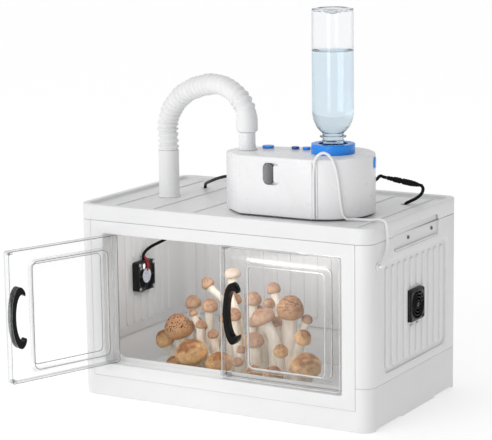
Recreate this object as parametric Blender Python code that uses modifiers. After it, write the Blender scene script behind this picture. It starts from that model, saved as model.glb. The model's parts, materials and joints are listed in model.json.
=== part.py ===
# Mushroom growing chamber: a lidded plastic crate with clear double doors, two small
# fans, a bottle-fed humidifier on its lid, a mist hose, and a cluster of mushrooms inside.
# Frame: +X to the right along the front, -Y towards the front, +Z up; the origin is the
# centre of the crate's underside. Units are metres.
import bpy
import bmesh
import math
from mathutils import Vector, Matrix

# ------------------------------------------------------------------ driving dimensions
WIDTH = 0.500            # crate, left to right
DEPTH = 0.310            # crate, front to back
LID_TOP = 0.300          # top of the lid's raised rim
LID_SEAM = 0.276         # underside of the lid's skirt
LID_FLOOR = 0.295        # sunk top surface of the lid
LID_UNDER = 0.292        # underside of the lid's plate
CORNER_R = 0.022         # vertical corner radius of the crate
WALL = 0.006             # side wall thickness, rim to rim
TRAY_H = 0.066           # height of the base tray at its sides and back
TRAY_FRONT_H = 0.032     # height of the base tray at the front
FLOOR_T = 0.004          # tray floor thickness
GAP = 0.0003             # gap between touching pieces
PANEL_X = 0.2263         # half width of the front and back panels
OPEN_X, OPEN_Z0, OPEN_Z1 = 0.205, 0.052, 0.257      # doorway
FRAME_T = 0.006          # front panel thickness
STOP_Y0, STOP_Y1 = -0.1318, -0.1288                 # door stop flange, front and back
HINGE_X, HINGE_Y = 0.1945, -0.1465                  # door hinge axes (left one at -X)
DOOR_Z0, DOOR_Z1 = 0.0545, 0.2545
DOOR_L_LEFT, DOOR_L_RIGHT = 0.1930, 0.1945          # hinge axis to free edge
DOOR_FRONT, DOOR_BACK, DOOR_T = -0.0035, 0.0095, 0.002
DOOR_OPEN_DEG = 110.0    # the left door stands open this far
PANEL_Z0, PANEL_Z1 = 0.0695, 0.2335                 # raised panel of a door
HANDLE_Z, HANDLE_W, HANDLE_H = 0.1525, 0.030, 0.094
FAN = 0.048              # fan frame size
FAN_R = 0.0222           # fan bore radius
INNER_FAN = (0.007, 0.157)       # y, z of the inner fan's axis, on the left wall
OUTER_FAN = (0.000, 0.161)       # y, z of the outer fan's axis, on the right wall
LOBE = (0.121, -0.038, 0.073)    # humidifier's round end: x, y, radius
HUM_Z0, HUM_Z1 = 0.2975, 0.386
BOTTLE = (0.131, -0.036)
BOTTLE_TOP, WATER_TOP = 0.600, 0.5375
NOZZLE = (-0.002, -0.060)
PORT = (-0.171, -0.015)
PORT_TOP = 0.3693
HOSE_R = 0.0150          # mean radius of the corrugated hose
CABLE_R = 0.0025
CORD_R = 0.0020

# ------------------------------------------------------------------ scene and helpers
for o in list(bpy.data.objects):
    bpy.data.objects.remove(o, do_unlink=True)


def collection(name):
    c = bpy.data.collections.new(name)
    bpy.context.scene.collection.children.link(c)
    return c


MODEL = collection("mushroom_grow_chamber")
CUTTERS = collection("cutters")


def material(name, rgb, rough=0.4, metal=0.0, alpha=1.0):
    m = bpy.data.materials.new(name)
    m.use_nodes = True
    b = m.node_tree.nodes["Principled BSDF"]
    b.inputs["Base Color"].default_value = (*rgb, 1)
    b.inputs["Roughness"].default_value = rough
    b.inputs["Metallic"].default_value = metal
    b.inputs["Alpha"].default_value = alpha
    m.diffuse_color = (*rgb, alpha)
    return m


def add(name, mesh, mat=None, where=None, loc=(0, 0, 0), rot=(0, 0, 0)):
    o = bpy.data.objects.new(name, mesh)
    o.location, o.rotation_euler = loc, rot
    (where or MODEL).objects.link(o)
    if mat:
        o.data.materials.append(mat)
    return o


def cutter(o):
    for c in list(o.users_collection):
        c.objects.unlink(o)
    CUTTERS.objects.link(o)
    o.hide_render = True
    o.display_type = "WIRE"
    return o


def mesh_of(bm, name):
    bmesh.ops.recalc_face_normals(bm, faces=bm.faces)
    me = bpy.data.meshes.new(name)
    bm.to_mesh(me)
    bm.free()
    return me


def box(name, lo, hi, mat=None, r=0.0, along="Z", seg=4):
    """A box between two corners; r rounds the four edges that run along one axis."""
    bm = bmesh.new()
    bmesh.ops.create_cube(bm, size=1.0)
    lo, hi = Vector([min(a, b) for a, b in zip(lo, hi)]), Vector([max(a, b) for a, b in zip(lo, hi)])
    for v in bm.verts:
        v.co = Vector([(lo[k] + hi[k]) / 2 + v.co[k] * (hi[k] - lo[k]) for k in range(3)])
    if r > 0:
        k = "XYZ".index(along)
        edges = [e for e in bm.edges if abs((e.verts[0].co - e.verts[1].co)[k]) > 1e-6]
        bmesh.ops.bevel(bm, geom=edges, offset=r, segments=seg, affect="EDGES", profile=0.5)
    return add(name, mesh_of(bm, name), mat)


def frustum(name, x0, x1, z0, z1, y_small, y_big, draft):
    """A box whose face at y_big is wider than its face at y_small by draft on every side."""
    bm = bmesh.new()
    bmesh.ops.create_cube(bm, size=1.0)
    for v in bm.verts:
        big = v.co.y > 0
        g = draft if big else 0.0
        v.co = Vector((x1 + g if v.co.x > 0 else x0 - g, y_big if big else y_small,
                       z1 + g if v.co.z > 0 else z0 - g))
    edges = [e for e in bm.edges if abs((e.verts[0].co - e.verts[1].co).y) > 1e-6]
    bmesh.ops.bevel(bm, geom=edges, offset=0.007, segments=3, affect="EDGES", profile=0.5)
    return add(name, mesh_of(bm, name))


def cylinder(name, centre, r, length, axis="Z", mat=None, seg=24, r2=None, squash=None):
    bm = bmesh.new()
    bmesh.ops.create_cone(bm, cap_ends=True, segments=seg, radius1=r,
                          radius2=r if r2 is None else r2, depth=length)
    if squash:
        bmesh.ops.scale(bm, vec=squash, verts=bm.verts)
    turn = {"Z": Matrix(), "X": Matrix.Rotation(math.pi / 2, 4, "Y"),
            "Y": Matrix.Rotation(-math.pi / 2, 4, "X")}[axis]
    bmesh.ops.transform(bm, matrix=Matrix.Translation(centre) @ turn, verts=bm.verts)
    return add(name, mesh_of(bm, name), mat)


def revolve(name, profile, centre, steps, mat=None, tilt=(0, 0, 0)):
    """A profile of (radius, height) turned about Z with a Screw modifier."""
    me = bpy.data.meshes.new(name)
    bm = bmesh.new()
    vs = [bm.verts.new((r, 0, z)) for r, z in profile]
    for a, b in zip(vs, vs[1:]):
        bm.edges.new((a, b))
    bm.to_mesh(me)
    bm.free()
    o = add(name, me, mat, loc=centre, rot=tilt)
    s = o.modifiers.new("turn", "SCREW")
    s.steps = s.render_steps = steps
    s.use_merge_vertices = True
    s.merge_threshold = 0.00001
    s.use_smooth_shade = True
    return o


def boolean(o, other, kind):
    m = o.modifiers.new(kind.lower(), "BOOLEAN")
    m.operation, m.solver, m.object = kind, "EXACT", other
    return o


def cut(o, *tools):
    for t in tools:
        boolean(o, cutter(t), "DIFFERENCE")
    return o


def weld(o, *others):
    for t in others:
        boolean(o, cutter(t), "UNION")
    return o


def keep(o, tool):
    return boolean(o, cutter(tool), "INTERSECT")


def bake(o):
    """The object's evaluated shape as a plain mesh on the same object."""
    dg = bpy.context.evaluated_depsgraph_get()
    dg.update()
    me = bpy.data.meshes.new_from_object(o.evaluated_get(dg))
    if o.type == "CURVE":
        n = bpy.data.objects.new("tmp", me)
        name = o.name
        n.matrix_world = o.matrix_world.copy()
        bm = bmesh.new()
        bm.from_mesh(me)
        bmesh.ops.remove_doubles(bm, verts=bm.verts, dist=0.00001)
        bmesh.ops.recalc_face_normals(bm, faces=bm.faces)
        bm.to_mesh(me)
        bm.free()
        MODEL.objects.link(n)
        bpy.data.objects.remove(o, do_unlink=True)
        n.name = name
        return n
    o.modifiers.clear()
    o.data = me
    return o


def smooth_path(points, n):
    """n points along a Catmull-Rom curve through the route's own points, evenly spaced."""
    P = [Vector(p) for p in points]
    P = [P[0] * 2 - P[1]] + P + [P[-1] * 2 - P[-2]]
    fine = []
    for i in range(1, len(P) - 2):
        a, b, c, d = P[i - 1:i + 3]
        for k in range(24):
            t = k / 24
            fine.append(0.5 * ((2 * b) + (c - a) * t + (2 * a - 5 * b + 4 * c - d) * t * t
                               + (3 * b - a - 3 * c + d) * t ** 3))
    fine.append(P[-2])
    run = [0.0]
    for a, b in zip(fine, fine[1:]):
        run.append(run[-1] + (b - a).length)
    out, j = [], 0
    for k in range(n):
        want = run[-1] * k / (n - 1)
        while j < len(run) - 2 and run[j + 1] < want:
            j += 1
        f = (want - run[j]) / max(run[j + 1] - run[j], 1e-12)
        out.append(fine[j].lerp(fine[j + 1], min(max(f, 0), 1)))
    return out


def tube(name, points, r, mat=None, res=2, radii=None):
    cu = bpy.data.curves.new(name, "CURVE")
    cu.dimensions = "3D"
    cu.bevel_depth = r
    cu.bevel_resolution = res
    cu.use_fill_caps = True
    cu.resolution_u = 1
    sp = cu.splines.new("POLY")
    sp.points.add(len(points) - 1)
    for i, p in enumerate(points):
        sp.points[i].co = (*p, 1)
        sp.points[i].radius = radii[i] if radii else 1.0
    return add(name, cu, mat)


def prism(name, outline, z0, z1, mat=None, round_r=0.0):
    """A flat outline as a 2D curve, filled and extruded, with its rims rounded."""
    cu = bpy.data.curves.new(name, "CURVE")
    cu.dimensions = "2D"
    cu.fill_mode = "BOTH"
    cu.extrude = (z1 - z0) / 2 - round_r
    cu.bevel_depth = round_r
    cu.bevel_resolution = 1
    cu.offset = -round_r
    sp = cu.splines.new("POLY")
    sp.points.add(len(outline) - 1)
    for i, (x, y) in enumerate(outline):
        sp.points[i].co = (x, y, 0, 1)
    sp.use_cyclic_u = True
    return add(name, cu, mat, loc=(0, 0, (z0 + z1) / 2))


def shade(o, angle=40):
    o.data.shade_smooth()
    o.data.set_sharp_from_angle(angle=math.radians(angle))
    return o


WHITE = material("crate_white", (0.86, 0.86, 0.86), 0.35)
WHITE_DEVICE = material("humidifier_white", (0.88, 0.88, 0.89), 0.3)
HOSE_WHITE = material("hose_white", (0.85, 0.85, 0.85), 0.45)
CLEAR = material("clear_plastic", (0.93, 0.95, 0.96), 0.08, alpha=0.3)
BLACK = material("black_plastic", (0.02, 0.02, 0.022), 0.3)
BLUE = material("blue_plastic", (0.03, 0.22, 0.75), 0.3)
DARK_BLUE = material("dark_blue_plastic", (0.02, 0.08, 0.3), 0.3)
SMOKE = material("smoked_window", (0.12, 0.12, 0.13), 0.2)
WATER = material("water", (0.75, 0.88, 0.95), 0.02, alpha=0.4)
CAP_BROWN = material("cap_brown", (0.42, 0.24, 0.13), 0.6)
CAP_TAN = material("cap_tan", (0.62, 0.42, 0.22), 0.6)
CAP_PALE = material("cap_pale", (0.78, 0.66, 0.52), 0.6)
STEM = material("stem_cream", (0.86, 0.80, 0.68), 0.6)

W2, D2 = WIDTH / 2, DEPTH / 2

# ------------------------------------------------------------------ the crate
tray = box("base_tray", (-W2, -D2, 0), (W2, D2, TRAY_H - GAP), WHITE, r=CORNER_R, seg=6)
cut(tray,
    box("tray_inside", (-W2 + 0.003, -D2 + 0.003, FLOOR_T), (W2 - 0.003, D2 - 0.003, 0.1), r=CORNER_R - 0.003, seg=6),
    box("tray_front_notch", (-PANEL_X, -D2 - 0.01, TRAY_FRONT_H), (PANEL_X, -D2 + 0.012, 0.1)))
for s in (-1, 1):
    for y0, y1 in ((-0.133, -0.046), (0.066, 0.133)):
        cut(tray, box("tray_foot_relief", (s * (W2 - 0.012), y0, -0.01), (s * (W2 + 0.01), y1, 0.0028)))
bake(tray)


def crate_ring(name, z0, z1):
    ring = box(name, (-W2, -D2, z0), (W2, D2, z1), WHITE, r=CORNER_R, seg=6)
    return cut(ring, box("ring_inside", (-W2 + WALL, -D2 + WALL, z0 - 0.01), (W2 - WALL, D2 - WALL, z1 + 0.01),
                         r=CORNER_R - WALL, seg=6))


def side_wall(name, s):
    """A side wall with both corner columns, its ribbed field and hand grip sunk 3.5 mm."""
    wall = crate_ring(name, TRAY_H, LID_SEAM - GAP)
    keep(wall, box("side_part", (s * (PANEL_X + GAP), -0.2, 0), (s * 0.3, 0.2, 0.4)))
    weld(wall, box("side_lip", (s * 0.2440, -0.128, 0.262), (s * 0.2464, 0.128, 0.2915)))
    cut(wall, box("field", (s * 0.2465, -0.108, 0.078), (s * 0.27, 0.108, 0.243), r=0.012, along="X", seg=3),
        box("grip", (s * 0.2465, -0.077, 0.2525), (s * 0.27, 0.080, 0.30), r=0.008, along="X", seg=2))
    return wall


left_wall = side_wall("side_wall_left", -1)
cut(left_wall, cylinder("fan_hole", (-0.246, *INNER_FAN), 0.0212, 0.03, "X", seg=24))
bake(left_wall)
right_wall = side_wall("side_wall_right", 1)
half = FAN / 2 + 0.00035
cut(right_wall, box("fan_window", (0.23, OUTER_FAN[0] - half, OUTER_FAN[1] - half),
                    (0.27, OUTER_FAN[0] + half, OUTER_FAN[1] + half)),
    cylinder("cord_hole", (0.246, -0.130, 0.2425), 0.0030, 0.03, "X", seg=12))
bake(right_wall)

back = box("back_wall", (-PANEL_X, D2 - WALL, TRAY_H), (PANEL_X, D2, LID_SEAM - GAP), WHITE)
cut(back, box("back_field", (-0.19, D2 - 0.0025, 0.09), (0.19, D2 + 0.01, 0.25), r=0.012, along="Y", seg=3))
weld(back, box("back_lip", (-0.21, D2 - WALL, 0.27), (0.21, D2 - 0.0036, 0.2915)))
bake(back)

front = box("front_frame", (GAP - PANEL_X, -D2, TRAY_FRONT_H + GAP), (PANEL_X - GAP, -D2 + FRAME_T, LID_SEAM - GAP), WHITE)
weld(front, box("jamb", (-OPEN_X - 0.003, -D2 + 0.003, OPEN_Z0 - 0.003), (OPEN_X + 0.003, STOP_Y1, OPEN_Z1 + 0.003)))
cut(front, box("doorway", (-OPEN_X, -0.2, OPEN_Z0), (OPEN_X, STOP_Y0, OPEN_Z1), r=0.003, along="Y", seg=2),
    box("way_in", (-0.199, -0.2, 0.058), (0.199, -0.1, 0.251), r=0.014, along="Y", seg=4))
for s in (-1, 1):
    cut(front, cylinder("hinge_socket_top", (s * HINGE_X, HINGE_Y, OPEN_Z1 + 0.0015), 0.0026, 0.010, seg=12),
        cylinder("hinge_socket_bottom", (s * HINGE_X, HINGE_Y, OPEN_Z0 - 0.0015), 0.0026, 0.010, seg=12))
bake(front)

lid = box("lid", (-W2, -D2, LID_SEAM), (W2, D2, LID_TOP), WHITE, r=CORNER_R, seg=6)
cut(lid, box("lid_sink", (-W2 + 0.011, -D2 + 0.011, LID_FLOOR), (W2 - 0.011, D2 - 0.011, 0.32), r=CORNER_R - 0.011, seg=4),
    box("lid_inside", (-W2 + 0.0032, -D2 + 0.0032, 0.26), (W2 - 0.0032, D2 - 0.0032, LID_UNDER), r=CORNER_R - 0.0032, seg=6),
    cylinder("port_hole", (*PORT, 0.29), 0.0135, 0.03, seg=24),
    cylinder("left_cable_hole", (-0.162, 0.079, 0.29), 0.0062, 0.03, seg=12),
    cylinder("right_cable_hole", (0.193, 0.081, 0.29), 0.0062, 0.03, seg=12))
for s in (-1, 1):
    cut(lid, box("grip_notch", (s * 0.24, -0.077, 0.26), (s * 0.27, 0.080, 0.2850), r=0.006, along="X", seg=2))
bake(lid)


# ------------------------------------------------------------------ the clear doors
def door(name, s, length, z_turn):
    """A clear moulded door. Its own x runs from the hinge axis to the free edge (times s), and
    its raised front panel stands forward of the sunk border; its origin is on the hinge axis."""
    F, B, T = DOOR_FRONT, DOOR_BACK, DOOR_T
    d = box(name, (s * -0.005, F, DOOR_Z0), (s * length, B, DOOR_Z1), CLEAR, r=0.002, along="Y", seg=1)
    cut(d, box("border_sink", (s * (-0.005 + T), -0.02, DOOR_Z0 + T), (s * (length - T), B - T, DOOR_Z1 - T)))
    x0, x1 = sorted((s * 0.0145, s * (length - 0.042)))
    weld(d, frustum("panel", x0, x1, PANEL_Z0, PANEL_Z1, F, B, 0.0055))
    cut(d, frustum("panel_hollow", x0 + T, x1 - T, PANEL_Z0 + T, PANEL_Z1 - T, F + T, B + 0.001, 0.0055))
    hx = s * (length - 0.019)
    cut(d, cylinder("handle_hole", (hx, 0, HANDLE_Z), 1.0, 0.06, "Y", seg=24,
                    squash=(HANDLE_W / 2 + GAP, HANDLE_H / 2 + GAP, 1)))
    weld(d, cylinder("pin_top", (0, 0, DOOR_Z1 + 0.0010), 0.0020, 0.0070, seg=12),
         cylinder("pin_bottom", (0, 0, DOOR_Z0 - 0.0010), 0.0020, 0.0070, seg=12))
    bake(d)
    ring = cylinder(name.replace("door", "door_handle"), (hx, (F + B) / 2, HANDLE_Z), 1.0, B - F, "Y", BLACK, seg=28,
                    squash=(HANDLE_W / 2, HANDLE_H / 2, 1))
    x0, x1 = sorted((hx - s * 0.0090, hx - s * 0.0300))
    cut(ring, cylinder("grip_hole", (hx - s * 0.0035, 0, HANDLE_Z), 1.0, 0.06, "Y", seg=28,
                       squash=(0.0120, 0.0360, 1)),
        box("grip_opening", (x0, -0.05, HANDLE_Z - 0.1), (x1, 0.05, HANDLE_Z + 0.1)))
    bake(ring)
    for o in (d, ring):
        o.location = (-s * HINGE_X, HINGE_Y, 0)
        o.rotation_euler = (0, 0, math.radians(z_turn))
    return d, ring


door("door_left", 1, DOOR_L_LEFT, -DOOR_OPEN_DEG)
door("door_right", -1, DOOR_L_RIGHT, 0.0)
box("door_catch_top", (-0.010, -0.1366, 0.2490), (0.008, -0.1322, OPEN_Z1 - GAP), CLEAR)
box("door_catch_bottom", (-0.010, -0.1366, OPEN_Z0 + GAP), (0.008, -0.1322, 0.0600), CLEAR)


# ------------------------------------------------------------------ the fans
def fan_rotor(name, centre):
    hub = cylinder(name, (0, 0, 0), 0.0095, 0.0062, "X", BLACK, seg=16)
    for k in range(7):
        b = box("blade", (-0.0004, 0.0080, -0.0044), (0.0004, 0.0205, 0.0044))
        b.rotation_mode = "XYZ"
        b.data.transform(Matrix.Rotation(math.radians(k * 360 / 7), 4, "X") @ Matrix.Rotation(math.radians(52), 4, "Y"))
        weld(hub, b)
    bake(hub)
    hub.location = centre
    return hub


def fan_frame(name, x0, x1, centre, face_sign):
    """Square frame with a round bore; a motor plate on four struts bridges its face_sign side."""
    y, z = centre
    h = FAN / 2
    f = box(name, (x0, y - h, z - h), (x1, y + h, z + h), BLACK, r=0.004, along="X", seg=2)
    cut(f, cylinder("bore", ((x0 + x1) / 2, y, z), FAN_R, 0.04, "X", seg=24))
    face = x1 if face_sign > 0 else x0
    back = face - face_sign * 0.0018
    weld(f, box("strut_a", (face, y - 0.0230, z - 0.0012), (back, y + 0.0230, z + 0.0012)),
         box("strut_b", (face, y - 0.0012, z - 0.0230), (back, y + 0.0012, z + 0.0230)),
         cylinder("motor_plate", ((face + back) / 2, y, z), 0.0110, abs(face - back), "X", seg=20))
    return bake(f)


IN_X0, IN_X1 = -0.2437, -0.2317
fan_frame("fan_inner_frame", IN_X0, IN_X1, INNER_FAN, 1)
fan_rotor("fan_inner_rotor", ((IN_X0 + IN_X1) / 2 - 0.0008, *INNER_FAN))
OUT_X0, OUT_X1 = 0.2405, 0.2515
fan_frame("fan_outer_frame", OUT_X0, OUT_X1, OUTER_FAN, -1)
fan_rotor("fan_outer_rotor", ((OUT_X0 + OUT_X1) / 2 + 0.0010, *OUTER_FAN))

grille = box("fan_outer_grille", (OUT_X1 + GAP, OUTER_FAN[0] - 0.0235, OUTER_FAN[1] - 0.0235),
             (OUT_X1 + 0.0016, OUTER_FAN[0] + 0.0235, OUTER_FAN[1] + 0.0235), BLACK, r=0.004, along="X", seg=2)
for i in range(7):
    zc = OUTER_FAN[1] + (i - 3) * 0.0060
    hw = math.sqrt(0.0215 ** 2 - (zc - OUTER_FAN[1]) ** 2)
    for s in (-1, 1):
        cut(grille, box("slot", (0.24, OUTER_FAN[0] + s * 0.0010, zc - 0.0020), (0.27, OUTER_FAN[0] + s * hw, zc + 0.0020)))
bake(grille)


# ------------------------------------------------------------------ the humidifier
def arc(cx, cy, r, a0, a1, n):
    return [(cx + r * math.cos(math.radians(a0 + (a1 - a0) * k / n)),
             cy + r * math.sin(math.radians(a0 + (a1 - a0) * k / n))) for k in range(n + 1)]


def humidifier_outline(inset):
    """Flat front, round right end, slimmer chamfered left end; drawn anticlockwise."""
    cx, cy, r = LOBE
    i = inset
    pts = [(-0.0265 + i, -0.0810 + i), (0.0085 + i * 0.4, -0.1092 + i), (0.0135 + i * 0.2, -0.1110 + i)]
    pts += arc(cx, cy, r - i, -90, 154, 28)
    pts += [(0.026, -0.0105 - i), (0.016, -0.0135 - i), (-0.0160 + i * 0.5, -0.0310 - i * 0.8),
            (-0.0240 + i, -0.0400 - i * 0.3), (-0.0290 + i, -0.0550), (-0.0290 + i, -0.0755)]
    return pts


prism("humidifier_base", humidifier_outline(0.0035), LID_FLOOR + GAP, HUM_Z0 - GAP, WHITE_DEVICE)
bake(bpy.data.objects["humidifier_base"])
body = prism("humidifier_body", humidifier_outline(0.0), HUM_Z0, HUM_Z1, WHITE_DEVICE, round_r=0.003)
body = bake(body)
body.data.materials.clear()
body.data.materials.append(WHITE_DEVICE)
cable_socket = cylinder("back_socket", (LOBE[2] + 0.0005, 0, 0.3345), 0.0052, 0.0060, "X", seg=12)
cable_socket.data.transform(Matrix.Translation((LOBE[0], LOBE[1], 0)) @ Matrix.Rotation(math.radians(60), 4, "Z"))
cut(body, box("window_recess", (0.0530, -0.13, 0.3440), (0.0810, -0.1045, 0.3770), r=0.008, along="Y", seg=3))
weld(body, box("level_tab", (0.0705, -0.1100, 0.3480), (0.0805, -0.1030, 0.3735), r=0.002, along="Y", seg=1),
     cylinder("left_socket", (-0.0012, -0.0215, 0.3360), 0.0052, 0.0080, "X", seg=12),
     cable_socket)
bake(body)
box("level_window", (0.0535, -0.1095, 0.3445), (0.0700, -0.1048, 0.3765), SMOKE, r=0.0078, along="Y", seg=2)
cylinder("button_large", (0.0190, -0.0330, HUM_Z1 + 0.0018 + GAP), 0.0090, 0.0036, mat=BLUE, seg=20)
cylinder("button_middle", (0.0620, -0.0260, HUM_Z1 + 0.0018 + GAP), 0.0060, 0.0036, mat=DARK_BLUE, seg=16)
cylinder("button_small", (0.0800, -0.0240, HUM_Z1 + 0.0018 + GAP), 0.0060, 0.0036, mat=BLUE, seg=16)
a = math.radians(12)
tab = box("blue_tab", (-0.0003, -0.0045, -0.0085), (0.0009, 0.0045, 0.0085), BLUE, r=0.003, along="X", seg=2)
tab.location = (LOBE[0] + (LOBE[2] + 0.0007) * math.cos(a), LOBE[1] + (LOBE[2] + 0.0007) * math.sin(a), 0.3735)
tab.rotation_euler = (0, 0, a)

revolve("nozzle", [(0, 0.4125), (0.0115, 0.4125), (0.0126, 0.4115), (0.0126, 0.3945), (0.0131, 0.3940),
                   (0.0131, 0.3885), (0.0150, 0.3880), (0.0150, HUM_Z1 + GAP), (0, HUM_Z1 + GAP)],
        (*NOZZLE, 0), 24, HOSE_WHITE)
revolve("bottle_collar", [(0, 0.3890), (0.0215, 0.3890), (0.0215, 0.4005), (0.0307, 0.4005), (0.0327, 0.3985),
                          (0.0327, HUM_Z1 + GAP), (0, HUM_Z1 + GAP)], (*BOTTLE, 0), 24, BLUE)

# The bottle stands upside down: its dented base is on top and its neck is in the collar.
t = 0.0006
outer = [(0.0, BOTTLE_TOP - 0.0080), (0.0200, BOTTLE_TOP - 0.0005),
         (0.0245, BOTTLE_TOP), (0.0295, BOTTLE_TOP - 0.0035), (0.0310, BOTTLE_TOP - 0.0090), (0.0310, 0.4500),
         (0.0300, 0.4400), (0.0262, 0.4280), (0.0200, 0.4190), (0.0157, 0.4150),
         (0.0155, 0.4122), (0.0198, 0.4118), (0.0198, 0.4098), (0.0152, 0.4094), (0.0150, 0.3895)]
inner = [(0.0138, 0.3895), (0.0140, 0.4153), (0.0196, 0.4197), (0.0256, 0.4284),
         (0.0294, 0.4402), (0.0304, 0.4502), (0.0304, BOTTLE_TOP - 0.0092), (0.0288, BOTTLE_TOP - 0.0045),
         (0.0242, BOTTLE_TOP - 0.0012), (0.0204, BOTTLE_TOP - 0.0016), (0.0, BOTTLE_TOP - 0.0088)]
revolve("bottle", outer + inner, (*BOTTLE, 0), 20, CLEAR)
revolve("water", [(0, WATER_TOP), (0.0300, WATER_TOP), (0.0300, 0.4502), (0.0290, 0.4404),
                  (0.0252, 0.4288), (0.0192, 0.4201), (0.0136, 0.4156), (0.0134, 0.3900), (0, 0.3900)],
        (*BOTTLE, 0), 20, WATER)

# ------------------------------------------------------------------ the mist hose
revolve("lid_port_tube", [(0.0138, PORT_TOP), (0.0155, PORT_TOP), (0.0161, PORT_TOP - 0.0010), (0.0161, 0.2990),
                          (0.0156, 0.2965), (0.0156, LID_FLOOR + GAP), (0.0138, LID_FLOOR + GAP), (0.0138, PORT_TOP)],
        (*PORT, 0), 24, HOSE_WHITE)
u = Vector((NOZZLE[0] - PORT[0], NOZZLE[1] - PORT[1], 0))
span = u.length
u.normalize()
# distance along the line from port to nozzle, and height, of the hose's centre line
HOSE_ROUTE = [(0.0, 0.3697), (0.0, 0.388), (-0.001, 0.405), (0.003, 0.422), (0.0145, 0.4400), (0.035, 0.4580),
              (0.060, 0.4700), (0.085, 0.4770), (0.108, 0.4800), (0.130, 0.4775), (0.1505, 0.4690),
              (0.1665, 0.4550), (0.1735, 0.4420), (span, 0.4290), (span, 0.4132)]
hose_pts = smooth_path([(PORT[0] + u.x * s, PORT[1] + u.y * s, z) for s, z in HOSE_ROUTE], 22)
bake(tube("hose", hose_pts, HOSE_R, HOSE_WHITE, res=4))

# ------------------------------------------------------------------ cables and the thin cord
LEFT_CABLE = [(-0.0060, -0.0215, 0.3360), (-0.0180, -0.0200, 0.3365), (-0.0450, -0.0130, 0.3360), (-0.0720, -0.0030, 0.3320),
              (-0.1000, 0.0150, 0.3240), (-0.1300, 0.0400, 0.3130), (-0.1520, 0.0660, 0.3050), (-0.1605, 0.0770, 0.3000),
              (-0.1622, 0.0790, 0.2930), (-0.1635, 0.0790, 0.2850), (-0.1680, 0.0770, 0.2740), (-0.1800, 0.0640, 0.2500), (-0.2020, 0.0340, 0.2200), (-0.2260, 0.0130, 0.2040),
              (-0.2365, 0.0075, 0.1930), (-0.2377, 0.0070, 0.1818)]
bake(tube("cable_left", smooth_path(LEFT_CABLE, 30), CABLE_R, BLACK))
c0, c1 = Vector((0.1745, 0.0575, 0.3377)), Vector((0.2180, 0.0777, 0.3268))
run = (c1 - c0).normalized()
RIGHT_A = [(0.15975, 0.02912, 0.3345), (0.1625, 0.0339, 0.3352), (0.1648, 0.0405, 0.3372),
           c0 - run * 0.0105 + Vector((0.0005, -0.0020, 0.0008)), c0 - run * 0.0055, c0 - run * 0.0008]
bake(tube("cable_right_a", smooth_path(RIGHT_A, 8), CABLE_R, BLACK))
conn = [c0.lerp(c1, k) for k in (0, 0.10, 0.2, 0.42, 0.45, 0.52, 0.55, 0.85, 0.95, 1.0)]
bake(tube("cable_connector", conn, 0.0046, BLACK, res=2, radii=[0.62, 0.8, 0.95, 0.95, 0.82, 0.82, 1, 1, 0.8, 0.62]))
RIGHT_B = [c1 + run * 0.0040, (0.2232, 0.0812, 0.3208), (0.2200, 0.0828, 0.3130),
           (0.2120, 0.0824, 0.3055), (0.2015, 0.0815, 0.2998), (0.1945, 0.0810, 0.2955), (0.1926, 0.0808, 0.2890),
           (0.1940, 0.0800, 0.2750), (0.2040, 0.0720, 0.2450), (0.2190, 0.0500, 0.2130), (0.2310, 0.0230, 0.1950),
           (0.2365, 0.0110, 0.1860), (0.2372, 0.0080, 0.1760)]
bake(tube("cable_right_b", [c1 + run * 0.0008] + smooth_path(RIGHT_B, 35), CABLE_R, BLACK))


def on_lobe(deg, z, gap=0.0006):
    r = LOBE[2] + CORD_R + gap
    return (LOBE[0] + r * math.cos(math.radians(deg)), LOBE[1] + r * math.sin(math.radians(deg)), z)


CORD = [on_lobe(-77, 0.2995), on_lobe(-77, 0.3200), on_lobe(-77, 0.3500), on_lobe(-76.5, 0.3740), on_lobe(-74, 0.3890),
        on_lobe(-67, 0.3965), on_lobe(-60, 0.3930), on_lobe(-54, 0.3800), on_lobe(-50, 0.3560), on_lobe(-47.5, 0.3280),
        on_lobe(-45, 0.3080), on_lobe(-40.5, 0.2990, 0.0012), on_lobe(-33, 0.2977, 0.0030), (0.2000, -0.0780, 0.2978),
        (0.2150, -0.0800, 0.2985), (0.2300, -0.0885, 0.3022), (0.2400, -0.0970, 0.3035), (0.2490, -0.1045, 0.3035),
        (0.2534, -0.1080, 0.3005), (0.2537, -0.1080, 0.2930), (0.2537, -0.1055, 0.2820), (0.2535, -0.1060, 0.2680), (0.2538, -0.1130, 0.2560),
        (0.2558, -0.1215, 0.2475), (0.2568, -0.1278, 0.2437), (0.2545, -0.1300, 0.2425), (0.2510, -0.1300, 0.2425),
        (0.2478, -0.1300, 0.2425)]
bake(tube("cord_white", smooth_path(CORD, 54), CORD_R, HOSE_WHITE))
revolve("cord_grommet", [(0.0030, 0.0018), (0.0044, 0.0018), (0.0054, 0.0008), (0.0054, 0.0), (0.0026, 0.0), (0.0026, 0.0014),
                         (0.0030, 0.0018)], (W2 + GAP, -0.130, 0.2425), 12, WHITE_DEVICE, tilt=(0, math.pi / 2, 0))

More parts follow.
